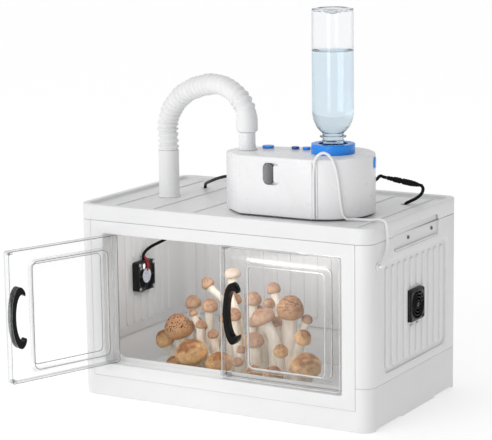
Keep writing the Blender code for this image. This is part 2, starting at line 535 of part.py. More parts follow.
# ------------------------------------------------------------------ the mushrooms
# name: cap centre x, y, z; cap diameter; lean about X and Y in degrees; colour; stem foot x, y; stem radius; clump
MUSHROOMS = {
    "cap_01": (-0.142, -0.045, 0.095, 0.046, 14, -8, CAP_BROWN, -0.122, -0.038, 0.0085, 0),
    "cap_02": (-0.176, -0.030, 0.068, 0.032, 8, -24, CAP_TAN, -0.128, -0.028, 0.0065, 0),
    "cap_03": (-0.094, -0.085, 0.069, 0.050, 24, 2, CAP_BROWN, -0.100, -0.050, 0.0095, 0),
    "cap_04": (-0.136, -0.070, 0.043, 0.025, 22, -18, CAP_TAN, -0.120, -0.050, 0.0055, 0),
    "cap_05": (-0.147, 0.010, 0.122, 0.026, 0, -10, CAP_BROWN, -0.122, -0.014, 0.0055, 0),
    "cap_06": (-0.097, -0.020, 0.128, 0.025, 4, 4, CAP_BROWN, -0.106, -0.030, 0.0055, 0),
    "cap_07": (-0.114, 0.000, 0.158, 0.021, 6, -38, CAP_BROWN, -0.104, -0.014, 0.0045, 0),
    "cap_08": (-0.046, -0.080, 0.056, 0.043, 20, 4, CAP_TAN, -0.036, -0.050, 0.0080, 1),
    "cap_09": (-0.079, 0.020, 0.173, 0.028, -4, -8, CAP_PALE, -0.040, -0.006, 0.0060, 1),
    "cap_10": (-0.065, 0.000, 0.138, 0.024, 4, -6, CAP_BROWN, -0.048, -0.012, 0.0050, 1),
    "cap_11": (-0.044, -0.035, 0.122, 0.023, 6, -2, CAP_BROWN, -0.038, -0.030, 0.0052, 1),
    "cap_12": (-0.026, -0.005, 0.143, 0.025, 2, 6, CAP_BROWN, -0.026, -0.014, 0.0055, 1),
    "cap_13": (0.011, -0.070, 0.096, 0.033, 10, 4, CAP_TAN, 0.002, -0.050, 0.0070, 1),
    "cap_14": (0.011, -0.044, 0.127, 0.039, 8, -22, CAP_BROWN, 0.034, -0.032, 0.0080, 2),
    "cap_15": (0.001, 0.010, 0.159, 0.022, 0, -14, CAP_BROWN, 0.034, -0.010, 0.0052, 2),
    "cap_16": (0.047, -0.019, 0.140, 0.042, 10, 8, CAP_BROWN, 0.042, -0.024, 0.0090, 2),
    "cap_17": (0.075, -0.030, 0.098, 0.026, 8, 24, CAP_TAN, 0.052, -0.034, 0.0055, 2),
    "cap_18": (0.052, -0.060, 0.081, 0.023, 14, 6, CAP_TAN, 0.048, -0.046, 0.0050, 2),
    "cap_19": (0.103, -0.075, 0.069, 0.048, 22, 14, CAP_TAN, 0.066, -0.046, 0.0090, 2),
    "cap_20": (0.062, -0.102, 0.055, 0.030, 24, 8, CAP_TAN, 0.054, -0.060, 0.0055, 2),
    "cap_21": (0.026, -0.098, 0.052, 0.026, 24, -4, CAP_TAN, 0.036, -0.058, 0.0050, 2),
}


ROUND, CUSHION = 1.75, 1.30      # how tall a cap is for its width
CUSHIONS = ("cap_03", "cap_08", "cap_13", "cap_14", "cap_09", "cap_19", "cap_04")


def cap_profile(d, tall):
    """Domed cap with an inrolled rim and a slightly hollow underside."""
    r, k = d / 2, tall * d / 2
    return [(0, 0.46 * k), (0.50 * r, 0.38 * k), (0.84 * r, 0.16 * k), (0.99 * r, -0.14 * k),
            (0.84 * r, -0.42 * k), (0.50 * r, -0.38 * k), (0, -0.36 * k)]


clumps = {0: [], 1: [], 2: []}
for name, (x, y, z, d, lx, ly, colour, fx, fy, sr, clump) in MUSHROOMS.items():
    tilt = (math.radians(lx), math.radians(ly), 0)
    tall = CUSHION if name in CUSHIONS else ROUND
    revolve(name, cap_profile(d, tall), (x, y, z), 12, colour, tilt=tilt)
    turn = Matrix.Rotation(tilt[1], 3, "Y") @ Matrix.Rotation(tilt[0], 3, "X")
    down = turn @ Vector((0, 0, -1))
    top = Vector((x, y, z)) + down * (0.36 * tall * d / 2 + 0.0022)
    knee = top + down * (0.30 * (z - 0.02))
    sr *= 1.30
    foot = Vector((fx, fy, FLOOR_T + GAP))
    mid = foot.lerp(knee, 0.45) + Vector((0, 0, 0.004))
    path = smooth_path([top, knee, mid, foot], 6)
    widths = [0.95, 0.90, 0.94, 1.05, 1.2, 1.40]
    clumps[clump].append(bake(tube("stem_tmp", path, sr, STEM, res=1, radii=widths)))
# the knob each clump grows from: centre x, y; half width, half depth
KNOBS = {0: (-0.114, -0.032, 0.026, 0.034), 1: (-0.024, -0.033, 0.0352, 0.042), 2: (0.047, -0.037, 0.034, 0.038)}
for k, stems in clumps.items():
    kx, ky, kw, kd = KNOBS[k]
    first = cylinder("stem_cluster_%d" % (k + 1), (0, 0, 0), 1.0, 1.0, mat=STEM, seg=16, r2=0.6)
    first.data.transform(Matrix.Translation((kx, ky, FLOOR_T + GAP + 0.0085)) @ Matrix.Diagonal((kw, kd, 0.017, 1)))
    weld(first, *stems)
    cut(first, box("floor_plane", (-0.3, -0.2, -0.1), (0.3, 0.2, FLOOR_T + GAP)))
    bake(first)

for o in MODEL.objects:
    if o.type == "MESH" and not o.modifiers:
        shade(o, 35)
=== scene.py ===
import bpy, bmesh, math, json, random
from mathutils import Vector, Matrix, noise

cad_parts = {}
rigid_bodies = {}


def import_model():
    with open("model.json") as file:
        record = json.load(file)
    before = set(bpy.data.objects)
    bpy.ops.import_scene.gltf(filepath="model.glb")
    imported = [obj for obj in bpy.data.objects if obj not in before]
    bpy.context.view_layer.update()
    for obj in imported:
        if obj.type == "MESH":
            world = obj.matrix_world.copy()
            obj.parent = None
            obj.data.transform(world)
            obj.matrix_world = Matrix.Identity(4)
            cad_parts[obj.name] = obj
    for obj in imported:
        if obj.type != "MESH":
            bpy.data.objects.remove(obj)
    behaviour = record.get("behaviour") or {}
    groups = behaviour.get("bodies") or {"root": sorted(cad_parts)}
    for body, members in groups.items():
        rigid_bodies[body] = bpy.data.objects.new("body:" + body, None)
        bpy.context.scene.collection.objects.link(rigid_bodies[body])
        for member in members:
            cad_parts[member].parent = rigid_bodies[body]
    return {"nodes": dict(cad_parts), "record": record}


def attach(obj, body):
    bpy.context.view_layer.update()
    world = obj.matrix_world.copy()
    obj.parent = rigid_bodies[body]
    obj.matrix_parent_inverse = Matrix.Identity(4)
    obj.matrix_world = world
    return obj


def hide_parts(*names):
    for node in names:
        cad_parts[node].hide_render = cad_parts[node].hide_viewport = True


for o in list(bpy.data.objects):
    bpy.data.objects.remove(o, do_unlink=True)
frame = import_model()
NODES, RECORD = frame["nodes"], frame["record"]
BODY = {n: b for b, ns in RECORD["behaviour"]["bodies"].items() for n in ns}


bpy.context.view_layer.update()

# ================================================================= camera
az, el, roll = math.radians(30.156), math.radians(10.5), math.radians(-0.769)
back = Vector((math.sin(az) * math.cos(el), -math.cos(az) * math.cos(el), math.sin(el)))
pos = Vector((-0.0408, 0, 0.2647)) + back * 2.9313
right = (-back).cross(Vector((0, 0, 1))).normalized()
up = right.cross(-back)
R = right * math.cos(roll) + up * math.sin(roll)
U = up * math.cos(roll) - right * math.sin(roll)
cam_data = bpy.data.cameras.new("camera")
cam_data.sensor_fit = "HORIZONTAL"
cam_data.sensor_width = 36
cam_data.lens = 138.02
cam_data.clip_end = 200
cam = bpy.data.objects.new("camera", cam_data)
bpy.context.scene.collection.objects.link(cam)
cam.matrix_world = Matrix(((R.x, U.x, back.x, pos.x), (R.y, U.y, back.y, pos.y), (R.z, U.z, back.z, pos.z), (0, 0, 0, 1)))
bpy.context.scene.camera = cam
bpy.context.scene.view_settings.view_transform = "Standard"


# ================================================================= helpers
def link(o):
    bpy.context.scene.collection.objects.link(o)
    return o


def piece(name, me, mat, body="crate", replaces=(), smooth=40, loc=None, matrix=None):
    me.materials.clear()
    me.materials.append(mat)
    if smooth:
        me.shade_smooth()
        me.set_sharp_from_angle(angle=math.radians(smooth))
    o = link(bpy.data.objects.new(name, me))
    if matrix is not None:
        o.matrix_world = matrix
    elif loc is not None:
        o.location = loc
    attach(o, body)
    if replaces:
        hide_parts(*replaces)
    return o


def mesh(bm, name):
    bmesh.ops.recalc_face_normals(bm, faces=bm.faces)
    me = bpy.data.meshes.new(name)
    bm.to_mesh(me)
    bm.free()
    return me


def bar(bm, lo, hi, r=0.0, seg=2, axis=None):
    """A box between two corners added to bm, its edges rounded (all, or only those along one axis)."""
    vs = bmesh.ops.create_cube(bm, size=1.0)["verts"]
    for v in vs:
        v.co = Vector([(lo[k] + hi[k]) / 2 + v.co[k] * (hi[k] - lo[k]) for k in range(3)])
    if r > 0:
        es = list({e for v in vs for e in v.link_edges})
        if axis is not None:
            es = [e for e in es if abs((e.verts[0].co - e.verts[1].co)[axis]) > 1e-6]
        bmesh.ops.bevel(bm, geom=es, offset=r, segments=seg, affect="EDGES", profile=0.5)
    return vs


def disc(bm, centre, r, depth, axis, seg=32, r2=None, bevel=0.0, bseg=3, stretch=(1, 1, 1)):
    before = set(bm.verts)
    vs = bmesh.ops.create_cone(bm, cap_ends=True, segments=seg, radius1=r, radius2=r if r2 is None else r2, depth=depth)["verts"]
    if bevel:
        es = [e for e in {e for v in vs for e in v.link_edges} if abs(e.verts[0].co.z - e.verts[1].co.z) < 1e-7]
        bmesh.ops.bevel(bm, geom=es, offset=bevel, segments=bseg, affect="EDGES", profile=0.5)
    vs = [v for v in bm.verts if v not in before]
    turn = {"Z": Matrix(), "X": Matrix.Rotation(math.pi / 2, 4, "Y"), "Y": Matrix.Rotation(math.pi / 2, 4, "X")}[axis]
    bmesh.ops.transform(bm, matrix=Matrix.Translation(centre) @ Matrix.Diagonal((*stretch, 1)) @ turn, verts=vs)


def smooth_path(points, n):
    P = [Vector(p) for p in points]
    P = [P[0] * 2 - P[1]] + P + [P[-1] * 2 - P[-2]]
    fine = []
    for i in range(1, len(P) - 2):
        a, b, c, d = P[i - 1:i + 3]
        for k in range(24):
            t = k / 24
            fine.append(0.5 * ((2 * b) + (c - a) * t + (2 * a - 5 * b + 4 * c - d) * t * t + (3 * b - a - 3 * c + d) * t ** 3))
    fine.append(P[-2])
    run = [0.0]
    for a, b in zip(fine, fine[1:]):
        run.append(run[-1] + (b - a).length)
    out, j = [], 0
    for k in range(n):
        want = run[-1] * k / (n - 1)
        while j < len(run) - 2 and run[j + 1] < want:
            j += 1
        f = (want - run[j]) / max(run[j + 1] - run[j], 1e-12)
        out.append(fine[j].lerp(fine[j + 1], min(max(f, 0), 1)))
    return out


def path_length(pts):
    return sum((b - a).length for a, b in zip(pts, pts[1:]))


def sweep(bm, pts, radius, sides, caps=True):
    """A tube along pts; radius(i, s, angle) gives the radius at point i, s metres along."""
    s, prev, rings = 0.0, None, []
    n = len(pts)
    for i, p in enumerate(pts):
        t = (pts[min(i + 1, n - 1)] - pts[max(i - 1, 0)]).normalized()
        if prev is None:
            a = t.orthogonal().normalized()
        else:
            a = (prev - t * prev.dot(t)).normalized()
        prev = a
        b = t.cross(a)
        if i:
            s += (p - pts[i - 1]).length
        rings.append([bm.verts.new(p + (a * math.cos(2 * math.pi * k / sides) + b * math.sin(2 * math.pi * k / sides))
                                   * radius(i, s, 2 * math.pi * k / sides)) for k in range(sides)])
    for r0, r1 in zip(rings, rings[1:]):
        for k in range(sides):
            bm.faces.new((r0[k], r0[(k + 1) % sides], r1[(k + 1) % sides], r1[k]))
    if caps:
        bm.faces.new(list(reversed(rings[0])))
        bm.faces.new(rings[-1])


def lathe(profile, steps, centre=(0, 0, 0)):
    """A closed turned mesh from (radius, height) points; ends on the axis are fans."""
    bm = bmesh.new()
    rows = []
    for r, z in profile:
        if r < 1e-7:
            rows.append([bm.verts.new((centre[0], centre[1], z + centre[2]))])
        else:
            rows.append([bm.verts.new((centre[0] + r * math.cos(2 * math.pi * k / steps),
                                       centre[1] + r * math.sin(2 * math.pi * k / steps), z + centre[2])) for k in range(steps)])
    for a, b in zip(rows, rows[1:]):
        for k in range(steps):
            q = (k + 1) % steps
            if len(a) == 1 and len(b) > 1:
                bm.faces.new((a[0], b[k], b[q]))
            elif len(b) == 1 and len(a) > 1:
                bm.faces.new((a[k], b[0], a[q]))
            elif len(a) > 1:
                bm.faces.new((a[k], b[k], b[q], a[q]))
    return bm


def rounded(profile, r, seg=4):
    """Rounds the corners of an open (radius, height) profile."""
    out = [profile[0]]
    for p, q, w in zip(profile, profile[1:], profile[2:]):
        a, b, c = Vector(p), Vector(q), Vector(w)
        u, v = (a - b), (c - b)
        d = min(r, u.length * 0.45, v.length * 0.45)
        if u.length < 1e-9 or v.length < 1e-9 or u.angle(v, 0) > math.radians(172):
            out.append(q)
            continue
        s, e = b + u.normalized() * d, b + v.normalized() * d
        for k in range(seg + 1):
            t = k / seg
            out.append(tuple(s.lerp(b, t).lerp(b.lerp(e, t), t)))
    out.append(profile[-1])
    return out


def refined(node, mat, width=0.0008, segments=2, angle=32, merge=0.6):
    """The CAD node's own shape with its edges softly rounded, standing for that node."""
    me = NODES[node].data.copy()
    bm = bmesh.new()
    bm.from_mesh(me)
    bmesh.ops.remove_doubles(bm, verts=bm.verts, dist=0.00002)
    bmesh.ops.dissolve_limit(bm, angle_limit=math.radians(merge), verts=bm.verts, edges=bm.edges)
    for e in bm.edges:
        e.smooth = True
    bm.to_mesh(me)
    bm.free()
    me.materials.clear()
    me.materials.append(mat)
    me.shade_smooth()
    o = link(bpy.data.objects.new(node + "_finish", me))
    b = o.modifiers.new("round", "BEVEL")
    b.width, b.segments, b.limit_method, b.angle_limit = width, segments, "ANGLE", math.radians(angle)
    b.harden_normals = True
    b.use_clamp_overlap = True
    b.miter_outer = "MITER_ARC"
    dg = bpy.context.evaluated_depsgraph_get()
    dg.update()
    new = bpy.data.meshes.new_from_object(o.evaluated_get(dg))
    o.modifiers.clear()
    o.data = new
    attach(o, BODY[node])
    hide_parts(node)
    return o


# ================================================================= materials
class Mat:
    """A material's node tree with short helpers."""

    def __init__(self, name, color, rough=0.4, **sockets):
        self.m = bpy.data.materials.new(name)
        self.m.use_nodes = True
        self.t = self.m.node_tree
        self.b = self.t.nodes["Principled BSDF"]
        self.b.inputs["Base Color"].default_value = (*color, 1)
        self.b.inputs["Roughness"].default_value = rough
        for k, v in sockets.items():
            self.b.inputs[k.replace("_", " ")].default_value = v
        self.co = None

    def node(self, kind, **vals):
        n = self.t.nodes.new(kind)
        for k, v in vals.items():
            if k in n.inputs:
                n.inputs[k].default_value = v
            else:
                setattr(n, k, v)
        return n

    def join(self, a, b):
        self.t.links.new(a, b)

    def coords(self, scale=(1, 1, 1)):
        if self.co is None:
            self.co = self.node("ShaderNodeTexCoord").outputs["Object"]
        if scale == (1, 1, 1):
            return self.co
        mp = self.node("ShaderNodeMapping")
        mp.inputs["Scale"].default_value = scale
        self.join(self.co, mp.inputs["Vector"])
        return mp.outputs["Vector"]

    def noise(self, scale, detail=3.0, rough=0.5, stretch=(1, 1, 1), distortion=0.0):
        n = self.node("ShaderNodeTexNoise")
        n.inputs["Scale"].default_value = scale
        n.inputs["Detail"].default_value = detail
        n.inputs["Roughness"].default_value = rough
        n.inputs["Distortion"].default_value = distortion
        self.join(self.coords(stretch), n.inputs["Vector"])
        return n.outputs["Fac"]

    def remap(self, fac, a, b, lo, hi):
        n = self.node("ShaderNodeMapRange")
        for k, v in (("From Min", a), ("From Max", b), ("To Min", lo), ("To Max", hi)):
            n.inputs[k].default_value = v
        self.join(fac, n.inputs["Value"])
        return n.outputs["Result"]

    def mix(self, fac, a, b):
        n = self.node("ShaderNodeMix")
        n.data_type = "RGBA"
        if isinstance(fac, (int, float)):
            n.inputs[0].default_value = fac
        else:
            self.join(fac, n.inputs[0])
        for sock, v in ((n.inputs[6], a), (n.inputs[7], b)):
            if isinstance(v, tuple):
                sock.default_value = (*v, 1)
            else:
                self.join(v, sock)
        return n.outputs[2]

    def bump(self, height, strength, distance):
        n = self.node("ShaderNodeBump")
        n.inputs["Strength"].default_value = strength
        n.inputs["Distance"].default_value = distance
        self.join(height, n.inputs["Height"])
        self.join(n.outputs["Normal"], self.b.inputs["Normal"])

    def set(self, socket, out):
        self.join(out, self.b.inputs[socket])


def moulded(name, color, rough, grain=2600, depth=0.00004, vary=0.03):
    """Moulded plastic: a fine even grain, faint flow shading and a slightly uneven gloss."""
    m = Mat(name, color, rough)
    big = m.noise(9, 2)
    dark = tuple(c * (1 - vary) for c in color)
    m.set("Base Color", m.mix(m.remap(big, 0.3, 0.7, 0, 1), color, dark))
    m.set("Roughness", m.remap(m.noise(60, 3), 0.3, 0.7, rough - 0.05, rough + 0.06))
    m.bump(m.noise(grain, 2), 0.35, depth)
    return m.m


def dark_moulded(name, color, rough, level):
    """Dark plastic whose gloss stays black except along its turned edges."""
    m = Mat(name, color, rough)
    m.set("Roughness", m.remap(m.noise(90, 3), 0.3, 0.7, rough - 0.03, rough + 0.05))
    m.bump(m.noise(1800, 2), 0.2, 0.00002)
    m.b.inputs["Specular IOR Level"].default_value = level
    return m.m


def clear_plastic(name, color, edge, a0, a1, rough=0.05):
    """Thin clear plastic: seen through face on, with painted grey shade along its turned edges, mixed in by Layer
    Weight.
    """
    m = Mat(name, color, rough)
    lw = m.node("ShaderNodeLayerWeight")
    lw.inputs["Blend"].default_value = 0.30
    # painted shade: the colour turns to the edge grey where the surface turns away from view
    m.set("Base Color", m.mix(m.remap(lw.outputs["Facing"], 0.2, 0.85, 0, 1), color, edge))
    m.set("Alpha", m.remap(lw.outputs["Facing"], 0.15, 0.9, a0, a1))
    m.set("Roughness", m.remap(m.noise(40, 2), 0.3, 0.7, rough, rough + 0.03))
    m.b.inputs["Specular IOR Level"].default_value = 1.0
    m.b.inputs["Coat Weight"].default_value = 1.0
    m.b.inputs["Coat Roughness"].default_value = 0.03
    return m.m


WHITE = moulded("crate_white_grained", (0.80, 0.80, 0.80), 0.42)
# the lid's copy of the crate white is a touch darker: painted shade for the lid top, which gets less light
WHITE_LID_SHADED = moulded("lid_white_grained_painted_shade", (0.79, 0.79, 0.795), 0.42)
DEVICE = moulded("humidifier_white_satin", (0.84, 0.84, 0.85), 0.30, 1800, 0.00002, 0.02)
HOSE = moulded("hose_white_satin", (0.84, 0.84, 0.84), 0.48, 1500, 0.00003, 0.03)
FAN = dark_moulded("fan_black_satin", (0.008, 0.008, 0.009), 0.36, 0.30)
CABLE = dark_moulded("cable_black_jacket", (0.006, 0.006, 0.007), 0.40, 0.12)
BLUE = moulded("blue_gloss_moulding", (0.008, 0.275, 0.93), 0.25, 1500, 0.00002, 0.12)
DARK_BLUE = moulded("dark_blue_moulding", (0.010, 0.085, 0.34), 0.25, 1500, 0.00002, 0.15)
# dark grey for the small pins and bosses, and painted shadow on the humidifier's base plate
DARK_TRIM_AND_SHADOW = moulded("dark_trim_and_painted_shadow", (0.10, 0.10, 0.105), 0.5, 1500, 0.00002, 0.1)
# the greys at the edges of the door and catch materials are painted shade; the whitish front edge material is painted
# highlight where the rims catch the light, and the dark back edge material is painted shade along the rims
DOOR = clear_plastic("door_clear_acrylic", (0.80, 0.82, 0.83), (0.20, 0.21, 0.22), 0.035, 0.80)
EDGE_PAINTED_HIGHLIGHT = clear_plastic("door_edge_painted_highlight", (0.92, 0.93, 0.94), (0.66, 0.67, 0.68), 0.42, 0.80)
EDGE_PAINTED_SHADE = clear_plastic("door_edge_painted_shade", (0.15, 0.155, 0.16), (0.05, 0.05, 0.055), 0.50, 0.90)
CATCH = clear_plastic("catch_clear_block", (0.80, 0.82, 0.83), (0.45, 0.47, 0.49), 0.25, 0.8)

HANDLE = dark_moulded("handle_black_gloss", (0.003, 0.003, 0.003), 0.12, 0.15)

steel = Mat("screw_bright_steel", (0.72, 0.72, 0.73), 0.25, Metallic=1.0)
steel.set("Roughness", steel.remap(steel.noise(900, 3), 0.3, 0.7, 0.2, 0.4))
SCREW = steel.m
red = Mat("wire_red_jacket", (0.45, 0.015, 0.015), 0.4)
red.set("Roughness", red.remap(red.noise(500, 2), 0.3, 0.7, 0.35, 0.5))
RED = red.m
lab = Mat("fan_hub_sticker", (0.62, 0.64, 0.72), 0.35)
lab.set("Base Color", lab.mix(lab.remap(lab.noise(160, 4, 0.6), 0.42, 0.62, 0, 1), (0.72, 0.74, 0.80), (0.45, 0.47, 0.60)))
STICKER = lab.m

smoke = Mat("window_smoked", (0.10, 0.10, 0.11), 0.22)
gx = smoke.node("ShaderNodeSeparateXYZ")
smoke.join(smoke.coords(), gx.inputs["Vector"])
smoke.set("Base Color", smoke.mix(smoke.remap(gx.outputs["X"], 0.0535, 0.0700, 0, 1), (0.26, 0.26, 0.27), (0.045, 0.045, 0.05)))
smoke.bump(smoke.noise(300, 2), 0.1, 0.0001)
SMOKE = smoke.m

pet = Mat("bottle_clear_pet", (0.96, 0.975, 0.985), 0.03, Transmission_Weight=1.0)
# painted shade: the clear bottle turns grey where its surface turns away from view
pet_rim_shade = pet.node("ShaderNodeLayerWeight")
pet_rim_shade.inputs["Blend"].default_value = 0.35
pet.set("Base Color", pet.mix(pet.remap(pet_rim_shade.outputs["Facing"], 0.35, 0.95, 0, 1), (0.965, 0.975, 0.985), (0.40, 0.45, 0.50)))
pet.b.inputs["IOR"].default_value = 1.30
pet.bump(pet.noise(45, 2), 0.12, 0.0006)
PET = pet.m
wat = Mat("water_clear_blue", (0.79, 0.885, 0.945), 0.0, Transmission_Weight=1.0)
# painted shade: the water turns darker grey-blue where its surface turns away from view
water_rim_shade = wat.node("ShaderNodeLayerWeight")
water_rim_shade.inputs["Blend"].default_value = 0.35
wat.set("Base Color", wat.mix(wat.remap(water_rim_shade.outputs["Facing"], 0.45, 1.0, 0, 1), (0.74, 0.845, 0.91), (0.50, 0.60, 0.68)))
wat.b.inputs["IOR"].default_value = 1.33
wat.bump(wat.noise(25, 2), 0.05, 0.0006)
WATER = wat.m


def skin(name, top, margin, speck, amount, scale, size):
    """Mushroom skin: a tint stored per vertex and small dark scales, denser near the crown."""
    m = Mat(name, top, 0.55)
    at = m.node("ShaderNodeVertexColor")
    at.layer_name = "Tint"
    sep = m.node("ShaderNodeSeparateColor")
    m.join(at.outputs["Color"], sep.inputs["Color"])
    base = m.mix(sep.outputs["Red"], margin, top)
    soft = m.mix(m.remap(m.noise(90, 4, 0.55), 0.38, 0.68, 0, 0.45), base, tuple(c * 0.66 for c in top))
    wob = m.node("ShaderNodeTexNoise")
    wob.inputs["Scale"].default_value = scale * 1.1
    wob.inputs["Detail"].default_value = 2.0
    m.join(m.coords(), wob.inputs["Vector"])
    shift = m.node("ShaderNodeVectorMath", operation="SCALE")
    m.join(wob.outputs["Color"], shift.inputs[0])
    shift.inputs["Scale"].default_value = 0.9 / scale
    add = m.node("ShaderNodeVectorMath", operation="ADD")
    m.join(m.coords(), add.inputs[0])
    m.join(shift.outputs["Vector"], add.inputs[1])
    vor = m.node("ShaderNodeTexVoronoi")
    vor.inputs["Scale"].default_value = scale
    vor.inputs["Randomness"].default_value = 0.9
    m.join(add.outputs["Vector"], vor.inputs["Vector"])
    cells = m.remap(vor.outputs["Distance"], size, size + 0.14, 1, 0)
    mul = m.node("ShaderNodeMath", operation="MULTIPLY")
    m.join(cells, mul.inputs[0])
    m.join(sep.outputs["Green"], mul.inputs[1])
    spotted = m.mix(m.remap(mul.outputs[0], 0, 1, 0, amount), soft, speck)
    gills = m.mix(sep.outputs["Blue"], spotted, (0.62, 0.47, 0.31))
    m.set("Base Color", gills)
    m.set("Roughness", m.remap(m.noise(300, 3), 0.3, 0.7, 0.42, 0.66))
    m.bump(m.noise(700, 4, 0.6), 0.5, 0.00018)
    m.b.inputs["Subsurface Weight"].default_value = 0.06
    m.b.inputs["Subsurface Scale"].default_value = 0.003
    m.b.inputs["Specular IOR Level"].default_value = 0.35
    return m.m


SKIN = {
    "brown": skin("cap_brown_skin", (0.42, 0.230, 0.145), (0.60, 0.390, 0.260), (0.15, 0.065, 0.040), 0.80, 380, 0.25),
    "speckled": skin("cap_speckled_skin", (0.46, 0.240, 0.130), (0.56, 0.320, 0.170), (0.070, 0.028, 0.015), 1.0, 280, 0.29),
    "tan": skin("cap_tan_skin", (0.32, 0.140, 0.058), (0.82, 0.520, 0.260), (0.15, 0.055, 0.022), 0.7, 400, 0.22),
    "pale": skin("cap_pale_skin", (0.66, 0.50, 0.39), (0.80, 0.68, 0.57), (0.50, 0.34, 0.25), 0.3, 420, 0.20),
}
st = Mat("stem_fibrous_cream", (0.86, 0.79, 0.67), 0.6)
streak = st.noise(420, 4, 0.6, stretch=(1, 1, 0.10))
blotch = st.noise(40, 4, 0.6)
gz = st.node("ShaderNodeSeparateXYZ")
st.join(st.coords(), gz.inputs["Vector"])
foot = st.remap(gz.outputs["Z"], 0.005, 0.040, 0.35, 0.0)
cream = st.mix(st.remap(streak, 0.42, 0.72, 0, 0.55), (0.95, 0.90, 0.81), (0.74, 0.61, 0.46))
cream = st.mix(st.remap(blotch, 0.54, 0.76, 0, 0.35), cream, (0.62, 0.46, 0.32))
st.set("Base Color", st.mix(foot, cream, (0.36, 0.22, 0.12)))
st.bump(streak, 0.6, 0.0005)
st.b.inputs["Subsurface Weight"].default_value = 0.10
st.b.inputs["Subsurface Scale"].default_value = 0.004
st.b.inputs["Specular IOR Level"].default_value = 0.3
STEM = st.m

# ================================================================= cords and the hose
NOZZLE, PORT, PORT_TOP = (-0.002, -0.060), (-0.171, -0.015), 0.3693
u = Vector((NOZZLE[0] - PORT[0], NOZZLE[1] - PORT[1], 0))
span = u.length
u.normalize()
HOSE_ROUTE = [(0.0, 0.3697), (0.0, 0.388), (-0.001, 0.405), (0.003, 0.422), (0.0145, 0.4400), (0.035, 0.4580),
              (0.060, 0.4700), (0.085, 0.4770), (0.108, 0.4800), (0.130, 0.4775), (0.1505, 0.4690),
              (0.1665, 0.4550), (0.1735, 0.4420), (span, 0.4290), (span, 0.4132)]
hose_pts = smooth_path([(PORT[0] + u.x * s, PORT[1] + u.y * s, z) for s, z in HOSE_ROUTE], 420)
HOSE_LEN = path_length(hose_pts)
CUFF0 = HOSE_LEN - 0.036


def hose_radius(i, s, a):
    """Rings 8 mm apart on the corrugated run, then a smooth cuff with a rounded shoulder at the nozzle."""
    pitch = 0.0092
    ph = (s / pitch) % 1.0
    ring = 0.5 - 0.5 * math.cos(2 * math.pi * ph)
    ring = ring ** 0.7
    wob = 1 + 0.10 * math.sin(s * 190.0 + 1.3)
    fade = 1 - 0.65 * min(max((s / HOSE_LEN - 0.56) / 0.10, 0), 1) * min(max((0.84 - s / HOSE_LEN) / 0.06, 0), 1)
    corr = 0.0129 + 0.0017 * (1 - fade) + 0.0037 * ring * wob * fade
    if s < 0.004:
        corr = 0.0150
    if s > CUFF0:
        e = (s - CUFF0) / 0.036
        if e < 0.22:
            k = e / 0.22
            return corr * (1 - k) + 0.0150 * k
        if e > 0.90:
            k = (e - 0.90) / 0.10
            return 0.0163 - 0.0022 * k * k
        k = min((e - 0.22) / 0.25, 1)
        return 0.0150 + 0.0013 * (3 * k * k - 2 * k ** 3)
    return corr


bm = bmesh.new()
sweep(bm, hose_pts, hose_radius, 48)
hose = piece("hose_corrugated", mesh(bm, "hose_corrugated"), HOSE, replaces=("hose",), smooth=60)


def cable(name, pts, r, mat, node):
    cu = bpy.data.curves.new(name, "CURVE")
    cu.dimensions = "3D"
    cu.bevel_depth = r
    cu.bevel_resolution = 5
    cu.use_fill_caps = True
    sp = cu.splines.new("POLY")
    sp.points.add(len(pts) - 1)
    for i, p in enumerate(pts):
        sp.points[i].co = (*p, 1)
    sp.use_smooth = True
    cu.materials.append(mat)
    o = link(bpy.data.objects.new(name, cu))
    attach(o, "crate")
    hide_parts(node)
    return o


LEFT_CABLE = [(-0.0060, -0.0215, 0.3360), (-0.0180, -0.0200, 0.3365), (-0.0450, -0.0130, 0.3360), (-0.0720, -0.0030, 0.3320),
              (-0.1000, 0.0150, 0.3240), (-0.1300, 0.0400, 0.3130), (-0.1520, 0.0660, 0.3050), (-0.1605, 0.0770, 0.3000),
              (-0.1622, 0.0790, 0.2930), (-0.1635, 0.0790, 0.2850), (-0.1680, 0.0770, 0.2740), (-0.1800, 0.0640, 0.2500),
              (-0.2020, 0.0340, 0.2200), (-0.2260, 0.0130, 0.2040), (-0.2365, 0.0075, 0.1930), (-0.2377, 0.0070, 0.1818)]
left_pts = smooth_path(LEFT_CABLE, 110)
left = cable("lead_left", left_pts, 0.0025, CABLE, "cable_left")

c0, c1 = Vector((0.1745, 0.0575, 0.3377)), Vector((0.2180, 0.0777, 0.3268))
run = (c1 - c0).normalized()
RIGHT_A = [(0.15975, 0.02912, 0.3345), (0.1625, 0.0339, 0.3352), (0.1648, 0.0405, 0.3372),
           c0 - run * 0.0105 + Vector((0.0005, -0.0020, 0.0008)), c0 - run * 0.0055, c0 - run * 0.0008]
RIGHT_B = [c1 + run * 0.0040, (0.2232, 0.0812, 0.3208), (0.2200, 0.0828, 0.3130),
           (0.2120, 0.0824, 0.3055), (0.2015, 0.0815, 0.2998), (0.1945, 0.0810, 0.2955), (0.1926, 0.0808, 0.2890),
           (0.1940, 0.0800, 0.2750), (0.2040, 0.0720, 0.2450), (0.2190, 0.0500, 0.2130), (0.2310, 0.0230, 0.1950),
           (0.2365, 0.0110, 0.1860), (0.2372, 0.0080, 0.1760)]
a_pts = smooth_path(RIGHT_A, 30)
b_pts = [c1 + run * 0.0008] + smooth_path(RIGHT_B, 110)
lead_a = cable("lead_right_short", a_pts, 0.0025, CABLE, "cable_right_a")
lead_b = cable("lead_right_long", b_pts, 0.0025, CABLE, "cable_right_b")
bm = bmesh.new()
cn = 60
cpts = [(c0 - run * 0.0006).lerp(c1 + run * 0.0006, k / cn) for k in range(cn + 1)]


